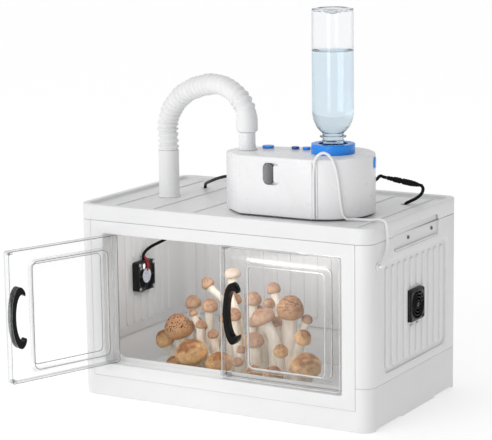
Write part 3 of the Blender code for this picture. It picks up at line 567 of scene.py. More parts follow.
def conn_radius(i, s, a):
    f = i / cn
    keys = [(0, .0027), (.06, .0034), (.10, .0030), (.14, .0037), (.18, .0031), (.22, .0042), (.42, .0045), (.44, .0036),
            (.47, .0036), (.49, .0047), (.78, .0047), (.80, .0040), (.84, .0044), (.88, .0036), (.92, .0038), (.95, .0030), (1, .0027)]
    for (f0, r0), (f1, r1) in zip(keys, keys[1:]):
        if f <= f1:
            return r0 + (r1 - r0) * (f - f0) / (f1 - f0)
    return keys[-1][1]


sweep(bm, cpts, conn_radius, 24)
connector = piece("lead_connector", mesh(bm, "lead_connector"), CABLE, replaces=("cable_connector",), smooth=50)

LOBE = (0.121, -0.038, 0.073)


def on_lobe(deg, z, gap=0.0006):
    r = LOBE[2] + 0.0020 + gap
    return (LOBE[0] + r * math.cos(math.radians(deg)), LOBE[1] + r * math.sin(math.radians(deg)), z)


CORD = [on_lobe(-77, 0.2995), on_lobe(-77, 0.3200), on_lobe(-77, 0.3500), on_lobe(-76.5, 0.3740), on_lobe(-74, 0.3890),
        on_lobe(-67, 0.3965), on_lobe(-60, 0.3930), on_lobe(-54, 0.3800), on_lobe(-50, 0.3560), on_lobe(-47.5, 0.3280),
        on_lobe(-45, 0.3080), on_lobe(-40.5, 0.2990, 0.0012), on_lobe(-33, 0.2977, 0.0030), (0.2000, -0.0780, 0.2978),
        (0.2150, -0.0800, 0.2985), (0.2300, -0.0885, 0.3022), (0.2400, -0.0970, 0.3035), (0.2490, -0.1045, 0.3035),
        (0.2534, -0.1080, 0.3005), (0.2537, -0.1080, 0.2930), (0.2537, -0.1055, 0.2820), (0.2535, -0.1060, 0.2680),
        (0.2538, -0.1130, 0.2560), (0.2558, -0.1215, 0.2475), (0.2568, -0.1278, 0.2437), (0.2545, -0.1300, 0.2425),
        (0.2510, -0.1300, 0.2425), (0.2478, -0.1300, 0.2425)]
cord_pts = smooth_path(CORD, 180)
white_cord = cable("cord_white_thin", cord_pts, 0.0020, HOSE, "cord_white")
grommet = refined("cord_grommet", WHITE, 0.0003, 1)

# ================================================================= crate
for n in ("base_tray", "side_wall_left", "side_wall_right", "back_wall", "front_frame"):
    refined(n, WHITE, 0.0009, 3)
refined("lid", WHITE_LID_SHADED, 0.0016, 3)


def ribs(name, boxes, mat=WHITE, r=0.0011, seg=2):
    bm = bmesh.new()
    for lo, hi in boxes:
        bar(bm, lo, hi, r, seg)
    return piece(name, mesh(bm, name), mat, smooth=50)


def skip_fan(name, side, x_in, x_out, fan, z0, z1, pitch, width, half=0.0255):
    """Upright ribs with round ends on a side wall; those behind the fan stop short above and below it."""
    bm = bmesh.new()
    y0, y1 = -0.100, 0.100
    n = int(round((y1 - y0 - width) / pitch))
    for i in range(n + 1):
        yc = y0 + width / 2 + (y1 - y0 - width) * i / n
        spans = [(z0, z1)]
        if fan and abs(yc - fan[0]) < half + width / 2:
            spans = [(z0, fan[1] - half - 0.003), (fan[1] + half + 0.003, z1)]
        for a, b in spans:
            before = set(bm.verts)
            vs = bmesh.ops.create_cube(bm, size=1.0)["verts"]
            for v in vs:
                v.co = Vector(((x_in + x_out) / 2 + v.co.x * (x_out - x_in), yc + v.co.y * width, (a + b) / 2 + v.co.z * (b - a)))
            es = [e for e in {e for v in vs for e in v.link_edges} if abs((e.verts[0].co - e.verts[1].co).x) > 1e-6]
            bmesh.ops.bevel(bm, geom=es, offset=width * 0.45, segments=6, affect="EDGES", profile=0.5)
            out = [e for e in bm.edges if all(abs(v.co.x - x_out) < 1e-7 for v in e.verts)
                   and all(abs(v.co.y - yc) < width and a - 1e-4 < v.co.z < b + 1e-4 for v in e.verts)]
            bmesh.ops.bevel(bm, geom=out, offset=abs(x_out - x_in) * 0.7, segments=4, affect="EDGES", profile=0.5)
            for v in bm.verts:
                if v not in before:
                    v.co = Vector((min(max(v.co.x, min(x_in, x_out)), max(x_in, x_out)),
                                   min(max(v.co.y, yc - width / 2), yc + width / 2), min(max(v.co.z, a), b)))
            before = set(bm.verts)
    return piece(name, mesh(bm, name), WHITE, smooth=50)


for s, nm, fan in ((-1, "left", (0.007, 0.157)), (1, "right", (0.0, 0.161))):
    skip_fan("ribs_outer_" + nm, s, s * 0.2463, s * 0.2488, fan, 0.0850, 0.2350, 0.0205, 0.0110, 0.0255 if s > 0 else 0.0215)
    skip_fan("ribs_inner_" + nm, s, s * 0.2442, s * 0.2424, fan, 0.0800, 0.2550, 0.0205, 0.0105, 0.0262)

bm = bmesh.new()
for k in range(17):
    xc = -0.200 + 0.025 * k
    vs = bmesh.ops.create_cube(bm, size=1.0)["verts"]
    y_in, y_out, w, a, b = 0.1492, 0.1474, 0.012, 0.080, 0.262
    for v in vs:
        v.co = Vector((xc + v.co.x * w, (y_in + y_out) / 2 + v.co.y * (y_in - y_out), (a + b) / 2 + v.co.z * (b - a)))
    es = [e for e in {e for v in vs for e in v.link_edges} if abs((e.verts[0].co - e.verts[1].co).y) > 1e-6]
    bmesh.ops.bevel(bm, geom=es, offset=w * 0.45, segments=5, affect="EDGES", profile=0.5)
    out = [e for e in bm.edges if all(abs(v.co.y - y_out) < 1e-7 and abs(v.co.x - xc) < w for v in e.verts)]
    bmesh.ops.bevel(bm, geom=out, offset=0.0012, segments=3, affect="EDGES", profile=0.5)
piece("ribs_inner_back", mesh(bm, "ribs_inner_back"), WHITE, smooth=50)
bm = bmesh.new()
for k in range(15):
    xc = -0.175 + 0.025 * k
    vs = bmesh.ops.create_cube(bm, size=1.0)["verts"]
    y_in, y_out, w, a, b = 0.1523, 0.1545, 0.012, 0.097, 0.243
    for v in vs:
        v.co = Vector((xc + v.co.x * w, (y_in + y_out) / 2 + v.co.y * (y_out - y_in), (a + b) / 2 + v.co.z * (b - a)))
    es = [e for e in {e for v in vs for e in v.link_edges} if abs((e.verts[0].co - e.verts[1].co).y) > 1e-6]
    bmesh.ops.bevel(bm, geom=es, offset=w * 0.45, segments=5, affect="EDGES", profile=0.5)
    out = [e for e in bm.edges if all(abs(v.co.y - y_out) < 1e-7 and abs(v.co.x - xc) < w for v in e.verts)]
    bmesh.ops.bevel(bm, geom=out, offset=0.0014, segments=3, affect="EDGES", profile=0.5)
piece("ribs_outer_back", mesh(bm, "ribs_outer_back"), WHITE, smooth=50)

lid_ribs = []
for xc in (-0.200, -0.131, -0.061, 0.079, 0.149, 0.214):
    y0 = -0.132 if xc < -0.05 or xc > 0.2 else 0.045
    lid_ribs.append(((xc - 0.0022, y0, 0.2944), (xc + 0.0022, 0.134, 0.2966)))
ribs("lid_ribs", lid_ribs, WHITE_LID_SHADED, 0.0009, 3)
ribs("lid_border", [((-0.232, -0.1375, 0.2944), (0.232, -0.1350, 0.2958)), ((-0.232, 0.1350, 0.2944), (0.232, 0.1375, 0.2958))],
     WHITE_LID_SHADED, 0.0005, 2)
# the chamber's back corners are rounded inside
ribs("corner_fillets", [((min(s * 0.2452, s * 0.2400), 0.1445, 0.0080), (max(s * 0.2452, s * 0.2400), 0.1500, 0.2900)) for s in (-1, 1)],
     WHITE, 0.0024, 4)
# two moulded bosses in each side grip, and the frame line round it
for s, nm in ((-1, "left"), (1, "right")):
    bm = bmesh.new()
    for yb, zb in ((-0.022, 0.2660), (0.060, 0.2660)):
        disc(bm, (s * 0.2472, yb, zb), 0.0026, 0.0022, "X", 20, bevel=0.0005)
    piece("grip_bosses_" + nm, mesh(bm, "grip_bosses_" + nm), DARK_TRIM_AND_SHADOW)
    ribs("grip_ledge_" + nm, [((min(s * 0.2460, s * 0.2498), -0.070, 0.2526), (max(s * 0.2460, s * 0.2498), 0.073, 0.2556))], WHITE, 0.0010, 3)

# ================================================================= doors
for n in ("door_left", "door_right"):
    refined(n, DOOR, 0.0006, 3, 28)
for n in ("door_handle_left", "door_handle_right"):
    refined(n, HANDLE, 0.0024, 4, 40)
for n in ("door_catch_top", "door_catch_bottom"):
    refined(n, CATCH, 0.0010, 3)
HX, HY = 0.1945, -0.1465
for name, s, length, turn, body in (("left", 1, 0.1930, -110.0, "door_l"), ("right", -1, 0.1945, 0.0, "door_r")):
    M = Matrix.Translation((-s * HX, HY, 0)) @ Matrix.Rotation(math.radians(turn), 4, "Z")
    bm = bmesh.new()
    for zc in (0.0585, 0.2505):
        disc(bm, (s * (length - 0.0048), 0.0035, zc), 0.0018, 0.0050, "Y", 16, bevel=0.0004)
    piece("door_pins_" + name, mesh(bm, "door_pins_" + name), DARK_TRIM_AND_SHADOW, body, matrix=M)
    bm = bmesh.new()
    for zc in (0.0575, 0.2515):
        bar(bm, (min(s * (length - 0.0100), s * (length - 0.0025)), -0.0030, zc - 0.0022),
            (max(s * (length - 0.0100), s * (length - 0.0025)), 0.0070, zc + 0.0022), 0.0006, 2)
    piece("door_latches_" + name, mesh(bm, "door_latches_" + name), CATCH, body, matrix=M)



def loop_tube(bm, x0, x1, z0, z1, y, rad, tube, sides=8):
    """A closed tube round a rectangle with rounded corners."""
    pts = []
    for cx, cz, a0 in ((x1 - rad, z1 - rad, 0), (x0 + rad, z1 - rad, 90), (x0 + rad, z0 + rad, 180), (x1 - rad, z0 + rad, 270)):
        for k in range(9):
            a = math.radians(a0 + 90 * k / 8)
            pts.append(Vector((cx + rad * math.cos(a), y, cz + rad * math.sin(a))))
    n = len(pts)
    rings = []
    for i, p in enumerate(pts):
        t = (pts[(i + 1) % n] - pts[i - 1]).normalized()
        a, b = Vector((0, 1, 0)), t.cross(Vector((0, 1, 0))).normalized()
        rings.append([bm.verts.new(p + (a * math.cos(2 * math.pi * k / sides) + b * math.sin(2 * math.pi * k / sides)) * tube)
                      for k in range(sides)])
    for i in range(n):
        r0, r1 = rings[i], rings[(i + 1) % n]
        for k in range(sides):
            bm.faces.new((r0[k], r0[(k + 1) % sides], r1[(k + 1) % sides], r1[k]))


Z0, Z1, PZ0, PZ1 = 0.0535, 0.2555, 0.0695, 0.2335
for name, s, length, turn, body in (("left", 1, 0.1930, -110.0, "door_l"), ("right", -1, 0.1945, 0.0, "door_r")):
    M = Matrix.Translation((-s * HX, HY, 0)) @ Matrix.Rotation(math.radians(turn), 4, "Z")
    p0, p1 = sorted((s * 0.0145, s * (length - 0.042)))
    e0, e1 = sorted((s * -0.0040, s * (length - 0.0012)))
    # thin tubes round the rims: this front set is painted highlight, light lines where the rims catch the light
    fine = bmesh.new()
    loop_tube(fine, p0 + 0.0050, p1 - 0.0050, PZ0 + 0.0050, PZ1 - 0.0050, -0.0036, 0.007, 0.00085)
    loop_tube(fine, p0, p1, PZ0, PZ1, 0.0076, 0.010, 0.00085)
    loop_tube(fine, e0, e1, Z0 + 0.0012, Z1 - 0.0012, -0.0030, 0.003, 0.00070)
    piece("door_highlight_lines_" + name, mesh(fine, "door_highlight_lines_" + name), EDGE_PAINTED_HIGHLIGHT, body, matrix=M)
    # this back set is painted shade, dark lines along the rims
    fine = bmesh.new()
    loop_tube(fine, p0 - 0.0006, p1 + 0.0006, PZ0 - 0.0006, PZ1 + 0.0006, 0.0094, 0.010, 0.00055)
    loop_tube(fine, e0, e1, Z0 + 0.0012, Z1 - 0.0012, 0.0090, 0.003, 0.00050)
    loop_tube(fine, p0 + 0.0055, p1 - 0.0055, PZ0 + 0.0055, PZ1 - 0.0055, -0.0015, 0.007, 0.00040)
    piece("door_shade_lines_" + name, mesh(fine, "door_shade_lines_" + name), EDGE_PAINTED_SHADE, body, matrix=M)

# ================================================================= fans
for n in ("fan_inner_frame", "fan_outer_frame"):
    refined(n, FAN, 0.0005, 2)
for n in ("fan_inner_rotor", "fan_outer_rotor"):
    refined(n, FAN, 0.0002, 1)
refined("fan_outer_grille", FAN, 0.0003, 2)
FY, FZ = 0.007, 0.157
bm = bmesh.new()
disc(bm, (-0.23155, FY, FZ), 0.0118, 0.0003, "X", 40)
piece("fan_sticker", mesh(bm, "fan_sticker"), STICKER)
bm = bmesh.new()
for sy in (-1, 1):
    for sz in (-1, 1):
        disc(bm, (-0.23120, FY + sy * 0.0198, FZ + sz * 0.0198), 0.0030, 0.0012, "X", 20, bevel=0.0004)
piece("fan_screws", mesh(bm, "fan_screws"), SCREW)
bm = bmesh.new()
for dy in (-0.0012, 0.0012):
    pts = smooth_path([(-0.2360, 0.0075 + dy, 0.1875), (-0.2322, 0.0080 + dy * 1.5, 0.1830), (-0.2306, 0.0085 + dy * 2.0, 0.1780),
                       (-0.2304, 0.0088 + dy * 1.4, 0.1710), (-0.2310, 0.0085 + dy, 0.1665), (-0.2322, 0.0080 + dy, 0.1640)], 40)
    sweep(bm, pts, lambda i, s, a: 0.0009, 10)
piece("fan_red_wires", mesh(bm, "fan_red_wires"), RED)
# raised guard rings on the outer fan's grille
OY, OZ, GX = 0.0, 0.161, 0.2530
bm = bmesh.new()
for rr in (0.0065, 0.0115, 0.0165, 0.0212):
    ring_pts = [Vector((GX, OY + rr * math.cos(2 * math.pi * k / 60), OZ + rr * math.sin(2 * math.pi * k / 60))) for k in range(61)]
    sweep(bm, ring_pts, lambda i, s, a: 0.0007, 8, caps=False)
disc(bm, (GX, OY, OZ), 0.0040, 0.0012, "X", 24, bevel=0.0004)
piece("fan_guard_rings", mesh(bm, "fan_guard_rings"), FAN)
bm = bmesh.new()
for sy in (-1, 1):
    for sz in (-1, 1):
        disc(bm, (0.2533, OY + sy * 0.0200, OZ + sz * 0.0200), 0.0022, 0.0009, "X", 16, bevel=0.0003)
piece("fan_guard_screws", mesh(bm, "fan_guard_screws"), FAN)

# ================================================================= humidifier
refined("humidifier_body", DEVICE, 0.0008, 3, 38, merge=0.02)
# the recessed base plate in dark grey is painted shadow for the gap under the humidifier's body
refined("humidifier_base", DARK_TRIM_AND_SHADOW, 0.0003, 1)
refined("level_window", SMOKE, 0.0008, 3)
for n, m in (("button_large", BLUE), ("button_middle", DARK_BLUE), ("button_small", BLUE), ("blue_tab", BLUE)):
    refined(n, m, 0.0006, 3, 30)
bm = bmesh.new()
for deg in (-79.9, -74.1):
    a = math.radians(deg)
    c = Vector((LOBE[0] + (LOBE[2] + 0.0006) * math.cos(a), LOBE[1] + (LOBE[2] + 0.0006) * math.sin(a), 0))
    sweep(bm, [Vector((c.x, c.y, 0.2980 + (0.3825 - 0.2980) * k / 30)) for k in range(31)],
          lambda i, s, t: 0.0016 * min(1.0, 0.3 + min(i, 30 - i) * 0.35), 14)
piece("cord_channel", mesh(bm, "cord_channel"), DEVICE, smooth=50)

prof = rounded([(0.0001, 0.4125), (0.0126, 0.4125), (0.0126, 0.3945), (0.0131, 0.3940), (0.0131, 0.3885), (0.0150, 0.3880),
                (0.0150, 0.3863), (0.0001, 0.3863)], 0.0006)
piece("nozzle_turned", mesh(lathe([(0, 0.4125)] + prof[1:-1] + [(0, 0.3863)], 64, (*NOZZLE, 0)), "nozzle_turned"), DEVICE,
      replaces=("nozzle",), smooth=35)
prof = rounded([(0.0138, 0.2953), (0.0138, PORT_TOP), (0.0161, PORT_TOP), (0.0161, 0.2990), (0.0172, 0.2968), (0.0178, 0.2953),
                (0.0138, 0.2953)], 0.0007)
piece("lid_port_turned", mesh(lathe(prof, 64, (*PORT, 0)), "lid_port_turned"), HOSE,
      replaces=("lid_port_tube",), smooth=35)
BOTTLE = (0.131, -0.036)
prof = rounded([(0.0001, 0.3890), (0.0215, 0.3890), (0.0215, 0.4005), (0.0327, 0.4005), (0.0327, 0.3863), (0.0001, 0.3863)], 0.0012)
piece("collar_turned", mesh(lathe([(0, 0.3890)] + prof[1:-1] + [(0, 0.3863)], 96, (*BOTTLE, 0)), "collar_turned"), BLUE,
      replaces=("bottle_collar",), smooth=35)

# ================================================================= bottle and water
TOP = 0.600
outer = [(0.0, TOP - 0.0080), (0.0060, TOP - 0.0078), (0.0140, TOP - 0.0050), (0.0200, TOP - 0.0005), (0.0245, TOP), (0.0295, TOP - 0.0035),
         (0.0310, TOP - 0.0090), (0.0310, 0.5000), (0.0310, 0.4500), (0.0303, 0.4420), (0.0284, 0.4335), (0.0250, 0.4255),
         (0.0205, 0.4195), (0.0168, 0.4165), (0.0157, 0.4145)]


def spline2(points, n):
    return [(max(p.x, 0.0), p.z) for p in smooth_path([(a, 0, b) for a, b in points], n)]


sm = spline2(outer, 90)
sm[0] = (0.0, sm[0][1])
neck = [(0.0156, 0.4124), (0.0196, 0.4120), (0.0198, 0.4112), (0.0196, 0.4100), (0.0156, 0.4096), (0.0153, 0.4060), (0.0166, 0.4052),
        (0.0166, 0.4040), (0.0153, 0.4030), (0.0153, 0.3990), (0.0166, 0.3982), (0.0166, 0.3970), (0.0153, 0.3960), (0.0150, 0.3895)]
inside = [(0.0140, 0.3895), (0.0142, 0.4145)] + [(max(r - 0.0006 * (1 if r > 0.001 else 0), 0), z - 0.0005 * (1 if z > 0.55 else 0))
                                              for r, z in reversed(sm[:-1])]
inside[-1] = (0.0, sm[0][1] - 0.0006)
piece("bottle_blown", mesh(lathe(sm + neck + inside, 96, (*BOTTLE, 0)), "bottle_blown"), PET,
      replaces=("bottle",), smooth=30)
wt = 0.5375
wprof = [(0.0, wt), (0.0288, wt), (0.0299, wt + 0.0006), (0.0307, wt + 0.0010), (0.0307, 0.4500), (0.0300, 0.4422), (0.0281, 0.4338),
         (0.0247, 0.4259), (0.0202, 0.4200), (0.0165, 0.4170), (0.0145, 0.4145), (0.0143, 0.3900), (0.0, 0.3900)]
piece("water_fill", mesh(lathe(wprof, 96, (*BOTTLE, 0)), "water_fill"), WATER, replaces=("water",), smooth=40)

# ================================================================= mushrooms
MUSHROOMS = {
    "cap_01": (-0.142, -0.045, 0.095, 0.046, 14, -8, "speckled", -0.122, -0.038, 0.0085, 0),
    "cap_02": (-0.176, -0.030, 0.068, 0.032, 8, -24, "tan", -0.128, -0.028, 0.0065, 0),
    "cap_03": (-0.094, -0.085, 0.069, 0.050, 24, 2, "tan", -0.100, -0.050, 0.0095, 0),
    "cap_04": (-0.136, -0.070, 0.043, 0.025, 22, -18, "tan", -0.120, -0.050, 0.0055, 0),
    "cap_05": (-0.147, 0.010, 0.122, 0.026, 0, -10, "brown", -0.122, -0.014, 0.0055, 0),
    "cap_06": (-0.097, -0.020, 0.128, 0.025, 4, 4, "brown", -0.106, -0.030, 0.0055, 0),
    "cap_07": (-0.114, 0.000, 0.158, 0.021, 6, -38, "brown", -0.104, -0.014, 0.0045, 0),
    "cap_08": (-0.046, -0.080, 0.056, 0.043, 20, 4, "tan", -0.036, -0.050, 0.0080, 1),
    "cap_09": (-0.079, 0.020, 0.173, 0.028, -4, -8, "pale", -0.040, -0.006, 0.0060, 1),
    "cap_10": (-0.065, 0.000, 0.138, 0.024, 4, -6, "brown", -0.048, -0.012, 0.0050, 1),
    "cap_11": (-0.044, -0.035, 0.122, 0.023, 6, -2, "brown", -0.038, -0.030, 0.0052, 1),
    "cap_12": (-0.026, -0.005, 0.143, 0.025, 2, 6, "brown", -0.026, -0.014, 0.0055, 1),
    "cap_13": (0.011, -0.070, 0.096, 0.033, 10, 4, "brown", 0.002, -0.050, 0.0070, 1),
    "cap_14": (0.011, -0.044, 0.127, 0.039, 8, -22, "brown", 0.034, -0.032, 0.0080, 2),
    "cap_15": (0.001, 0.010, 0.159, 0.022, 0, -14, "brown", 0.034, -0.010, 0.0052, 2),
    "cap_16": (0.047, -0.019, 0.140, 0.042, 10, 8, "speckled", 0.042, -0.024, 0.0090, 2),
    "cap_17": (0.075, -0.030, 0.098, 0.026, 8, 24, "tan", 0.052, -0.034, 0.0055, 2),
    "cap_18": (0.052, -0.060, 0.081, 0.023, 14, 6, "tan", 0.048, -0.046, 0.0050, 2),
    "cap_19": (0.103, -0.075, 0.069, 0.048, 22, 14, "tan", 0.066, -0.046, 0.0090, 2),
    "cap_20": (0.062, -0.102, 0.055, 0.030, 24, 8, "tan", 0.054, -0.060, 0.0055, 2),
    "cap_21": (0.026, -0.098, 0.052, 0.026, 24, -4, "tan", 0.036, -0.058, 0.0050, 2),
}
# smaller ones between them, made only here
SMALL = [
    (-0.006, -0.092, 0.064, 0.018, 14, -4, "brown", -0.012, -0.056, 0.0040, 1),
    (-0.017, -0.060, 0.075, 0.016, 8, 6, "brown", -0.020, -0.045, 0.0036, 1),
    (-0.095, -0.048, 0.101, 0.018, 10, 8, "brown", -0.104, -0.036, 0.0042, 0),
    (-0.073, -0.052, 0.091, 0.018, 10, -6, "brown", -0.060, -0.040, 0.0042, 1),
    (-0.116, -0.040, 0.118, 0.015, 10, -14, "brown", -0.112, -0.034, 0.0036, 0),
    (-0.002, 0.002, 0.137, 0.019, 4, 8, "brown", -0.006, -0.016, 0.0046, 1),
    (0.024, -0.100, 0.030, 0.016, 26, -10, "tan", 0.032, -0.066, 0.0040, 2),
    (0.084, -0.104, 0.032, 0.026, 24, 16, "tan", 0.064, -0.066, 0.0048, 2),
    (-0.066, -0.104, 0.032, 0.020, 26, -12, "brown", -0.044, -0.062, 0.0042, 1),
    (-0.020, -0.107, 0.030, 0.022, 26, 6, "tan", -0.024, -0.066, 0.0048, 1),
    (0.068, -0.004, 0.120, 0.018, 0, 16, "brown", 0.054, -0.018, 0.0040, 2),
    (-0.060, -0.025, 0.156, 0.016, 4, -20, "brown", -0.046, -0.022, 0.0038, 1),
    (-0.031, 0.016, 0.120, 0.021, -4, -6, "brown", -0.030, 0.000, 0.0048, 1),
    (-0.076, -0.010, 0.108, 0.021, 4, -12, "brown", -0.056, -0.018, 0.0046, 1),
    (-0.128, -0.010, 0.096, 0.019, 2, -8, "brown", -0.120, -0.022, 0.0044, 0),
    (-0.083, -0.070, 0.110, 0.017, 14, 10, "brown", -0.064, -0.046, 0.0040, 1),
    (-0.012, -0.030, 0.112, 0.020, 8, 6, "brown", -0.018, -0.034, 0.0046, 1),
    (0.018, -0.012, 0.112, 0.021, 4, -10, "brown", 0.034, -0.024, 0.0046, 2),
    (-0.118, -0.092, 0.036, 0.022, 26, -6, "tan", -0.112, -0.056, 0.0046, 0),
]
PROFILE = [(0, 0.46), (0.26, 0.445), (0.50, 0.38), (0.70, 0.275), (0.86, 0.135), (0.96, -0.01), (1.0, -0.15), (0.975, -0.28),
           (0.885, -0.39), (0.78, -0.425), (0.66, -0.40), (0.45, -0.37), (0.22, -0.36), (0, -0.36)]
RINGS = smooth_path([(a, 0, b) for a, b in PROFILE], 50)
LOW = min(range(len(RINGS)), key=lambda j: RINGS[j].z)
ROUND, CUSHION = 1.75, 1.30      # how tall a cap is for its width
CUSHIONS = ("cap_03", "cap_08", "cap_13", "cap_14", "cap_09", "cap_19", "cap_04")


def add_cap(bm, tint, d, seed, M, tall=ROUND, sides=76):
    """One cap: an uneven dome with an inrolled margin and gills, its tint kept per vertex."""
    r = d / 2
    rows = []
    off = Vector((seed * 7.31, seed * 3.17, seed * 1.93))
    for j, p in enumerate(RINGS):
        row = []
        for k in range(sides if p.x > 1e-4 else 1):
            a = 2 * math.pi * k / sides
            dirv = Vector((math.cos(a), math.sin(a), 0))
            q = dirv * max(p.x, 0) * r + Vector((0, 0, p.z * r * tall))
            under = j > LOW
            n1 = noise.noise(q * (1.1 / r) + off)
            n2 = noise.noise(q * (3.1 / r) + off * 2)
            if under and 0.2 < p.x < 0.74:
                q = q + Vector((0, 0, (0.020 if k % 2 else -0.020) * r))
            else:
                q = q * (1 + 0.060 * n1 + 0.022 * n2) if not under else q * (1 + 0.03 * n1)
            v = bm.verts.new(M @ q)
            crown = min(max((p.z - 0.02) / 0.36, 0), 1) if not under else 0
            red_ = min(max(crown + 0.35 * n2 + 0.2 * n1, 0), 1)
            speck = min(max((p.z + 0.26) / 0.30, 0), 1) if not under else 0
            v[tint] = (red_, speck, 1.0 if (under and p.x < 0.76) else 0.0, 1)
            row.append(v)
        rows.append(row)
    for a, b in zip(rows, rows[1:]):
        for k in range(sides):
            q = (k + 1) % sides
            if len(a) == 1 and len(b) > 1:
                bm.faces.new((a[0], b[k], b[q]))
            elif len(b) == 1 and len(a) > 1:
                bm.faces.new((a[k], b[0], a[q]))
            elif len(a) > 1 and len(b) > 1:
                bm.faces.new((a[k], b[k], b[q], a[q]))


def cap_matrix(x, y, z, lx, ly):
    return Matrix.Translation((x, y, z)) @ Matrix.Rotation(math.radians(ly), 4, "Y") @ Matrix.Rotation(math.radians(lx), 4, "X")


stems = {0: [], 1: [], 2: []}


def stem_route(x, y, z, d, lx, ly, fx, fy, tall=ROUND):
    turn = cap_matrix(0, 0, 0, lx, ly).to_3x3()
    down = turn @ Vector((0, 0, -1))
    top = Vector((x, y, z)) + down * (0.36 * tall * d / 2 + 0.0022)
    knee = top + down * (0.30 * (z - 0.02))
    foot = Vector((fx, fy, 0.0043))
    mid = foot.lerp(knee, 0.45) + Vector((0, 0, 0.004))
    return [top - down * 0.006, top, knee, mid, foot]


def stem_radius(sr):
    keys = [1.36, 1.28, 1.28, 1.36, 1.50, 1.66, 1.85]

    def f(i, s, a, n=24):
        t = i / n * (len(keys) - 1)
        k = min(int(t), len(keys) - 2)
        base = keys[k] + (keys[k + 1] - keys[k]) * (t - k)
        return sr * base * (1 + 0.05 * math.sin(3 * a + i * 0.3) + 0.03 * math.sin(7 * a + i * 0.11))
    return f


seed = 1
for name, (x, y, z, d, lx, ly, style, fx, fy, sr, clump) in MUSHROOMS.items():
    bm = bmesh.new()
    tint = bm.verts.layers.color.new("Tint") if hasattr(bm.verts.layers, "color") else bm.verts.layers.float_color.new("Tint")
    tall = CUSHION if name in CUSHIONS else ROUND
    add_cap(bm, tint, d, seed, Matrix(), tall)
    piece(name + "_skin", mesh(bm, name + "_skin"), SKIN[style], replaces=(name,), smooth=0,
          matrix=cap_matrix(x, y, z, lx, ly)).data.shade_smooth()
    stems[clump].append((stem_route(x, y, z, d, lx, ly, fx, fy, tall), sr))
    seed += 1
for style in ("brown", "tan"):
    bm = bmesh.new()
    tint = bm.verts.layers.float_color.new("Tint")
    for (x, y, z, d, lx, ly, sty, fx, fy, sr, clump) in SMALL:
        if sty == style:
            add_cap(bm, tint, d, seed, cap_matrix(x, y, z, lx, ly), 1.5, 60)
            stems[clump].append((stem_route(x, y, z, d, lx, ly, fx, fy, 1.5), sr * 1.15))
            seed += 1
    piece("small_caps_" + style, mesh(bm, "small_caps_" + style), SKIN[style], smooth=0).data.shade_smooth()

KNOBS = {0: (-0.114, -0.036, 0.030, 0.038), 1: (-0.026, -0.038, 0.042, 0.044), 2: (0.050, -0.042, 0.036, 0.040)}
for k, routes in stems.items():
    bm = bmesh.new()
    for route, sr in routes:
        sweep(bm, smooth_path(route, 25), stem_radius(sr), 20)
    kx, ky, kw, kd = KNOBS[k]
    vs = bmesh.ops.create_uvsphere(bm, u_segments=32, v_segments=16, radius=1.0)["verts"]
    bmesh.ops.transform(bm, matrix=Matrix.Translation((kx, ky, 0.008)) @ Matrix.Diagonal((kw, kd, 0.022, 1)), verts=vs)
    me = mesh(bm, "stems_%d" % (k + 1))
    o = link(bpy.data.objects.new("stems_%d" % (k + 1), me))
    rm = o.modifiers.new("fuse", "REMESH")
    rm.mode, rm.voxel_size, rm.use_smooth_shade = "VOXEL", 0.0014, True
    sm_ = o.modifiers.new("soften", "SMOOTH")
    sm_.factor, sm_.iterations = 0.5, 4
    dg = bpy.context.evaluated_depsgraph_get()
    dg.update()
    new = bpy.data.meshes.new_from_object(o.evaluated_get(dg))
    o.modifiers.clear()
    bm = bmesh.new()
    bm.from_mesh(new)
    bmesh.ops.bisect_plane(bm, geom=bm.verts[:] + bm.edges[:] + bm.faces[:], plane_co=(0, 0, 0.0042), plane_no=(0, 0, 1), clear_inner=True)
    bmesh.ops.holes_fill(bm, edges=[e for e in bm.edges if e.is_boundary])
    bm.normal_update()
    for v in bm.verts:
        if v.co.z > 0.0055:
            n = noise.noise(Vector((v.co.x * 260, v.co.y * 260, v.co.z * 22)))
            v.co += v.normal * 0.00045 * n
    bm.to_mesh(new)
    bm.free()
    new.shade_smooth()
    o.data = new
    new.materials.clear()
    new.materials.append(STEM)
    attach(o, "crate")
    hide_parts("stem_cluster_%d" % (k + 1))

# ================================================================= floor, world and lights
bm = bmesh.new()
bmesh.ops.create_grid(bm, x_segments=1, y_segments=1, size=40)
floor_me = mesh(bm, "floor")
fl = Mat("floor_pale", (0.97, 0.97, 0.97), 0.85)
fl.b.inputs["Emission Color"].default_value = (1, 1, 1, 1)
fl.b.inputs["Emission Strength"].default_value = 0.27
fl.set("Roughness", fl.remap(fl.noise(3, 2), 0.3, 0.7, 0.8, 0.9))
floor_me.materials.append(fl.m)
floor = link(bpy.data.objects.new("floor", floor_me))
floor.location = (0, 0, -0.0003)

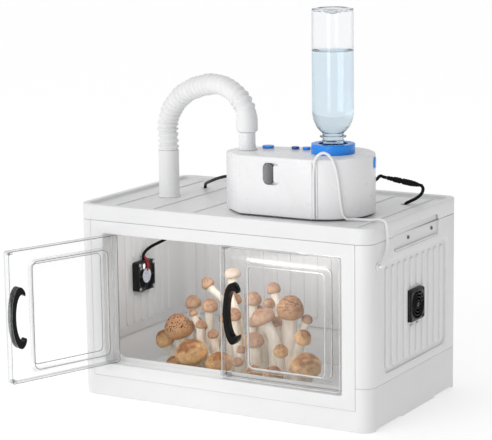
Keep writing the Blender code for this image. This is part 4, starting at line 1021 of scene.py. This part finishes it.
world = bpy.data.worlds.new("studio")
bpy.context.scene.world = world
world.use_nodes = True
wn = world.node_tree
tc, sx = wn.nodes.new("ShaderNodeTexCoord"), wn.nodes.new("ShaderNodeSeparateXYZ")
mr = wn.nodes.new("ShaderNodeMapRange")
wn.links.new(tc.outputs["Generated"], sx.inputs["Vector"])
wn.links.new(sx.outputs["Z"], mr.inputs["Value"])
for k, v in (("From Min", 0.05), ("From Max", 0.9), ("To Min", 0.86), ("To Max", 0.86)):
    mr.inputs[k].default_value = v
side = wn.nodes.new("ShaderNodeMapRange")          # the room is a little darker towards the right wall
for k, v in (("From Min", -0.1), ("From Max", 0.9), ("To Min", 1.0), ("To Max", 0.46)):
    side.inputs[k].default_value = v
both = wn.nodes.new("ShaderNodeMath")
both.operation = "MULTIPLY"
wn.links.new(sx.outputs["X"], side.inputs["Value"])
wn.links.new(mr.outputs["Result"], both.inputs[0])
wn.links.new(side.outputs["Result"], both.inputs[1])
wn.links.new(both.outputs["Value"], wn.nodes["Background"].inputs["Strength"])
wn.nodes["Background"].inputs["Color"].default_value = (1, 1, 1, 1)


def area(name, loc, target, size, power):
    li = bpy.data.lights.new(name, "AREA")
    li.shape = "SQUARE"
    li.size = size
    li.energy = power
    o = link(bpy.data.objects.new(name, li))
    o.location = loc
    o.rotation_euler = (Vector(target) - Vector(loc)).to_track_quat("-Z", "Y").to_euler()
    return o


area("key", (-0.9, -2.9, 1.2), (0, 0, 0.2), 1.4, 14)
area("front", (0.4, -2.8, 0.45), (-0.05, 0, 0.15), 0.8, 7)
# daylight that the thin white walls and lid let through into the chamber
for name, at, aim, wide, deep, power in (("chamber_glow", (-0.060, 0.010, 0.2770), (-0.060, 0.010, 0.0), 0.32, 0.23, 0.20),
                                         ("door_glow", (0.010, -0.118, 0.2500), (0.030, 0.020, 0.040), 0.36, 0.05, 0.22)):
    glow = area(name, at, aim, wide, power)
    glow.data.shape, glow.data.size_y = "RECTANGLE", deep
    glow.visible_camera = glow.visible_glossy = glow.visible_transmission = False
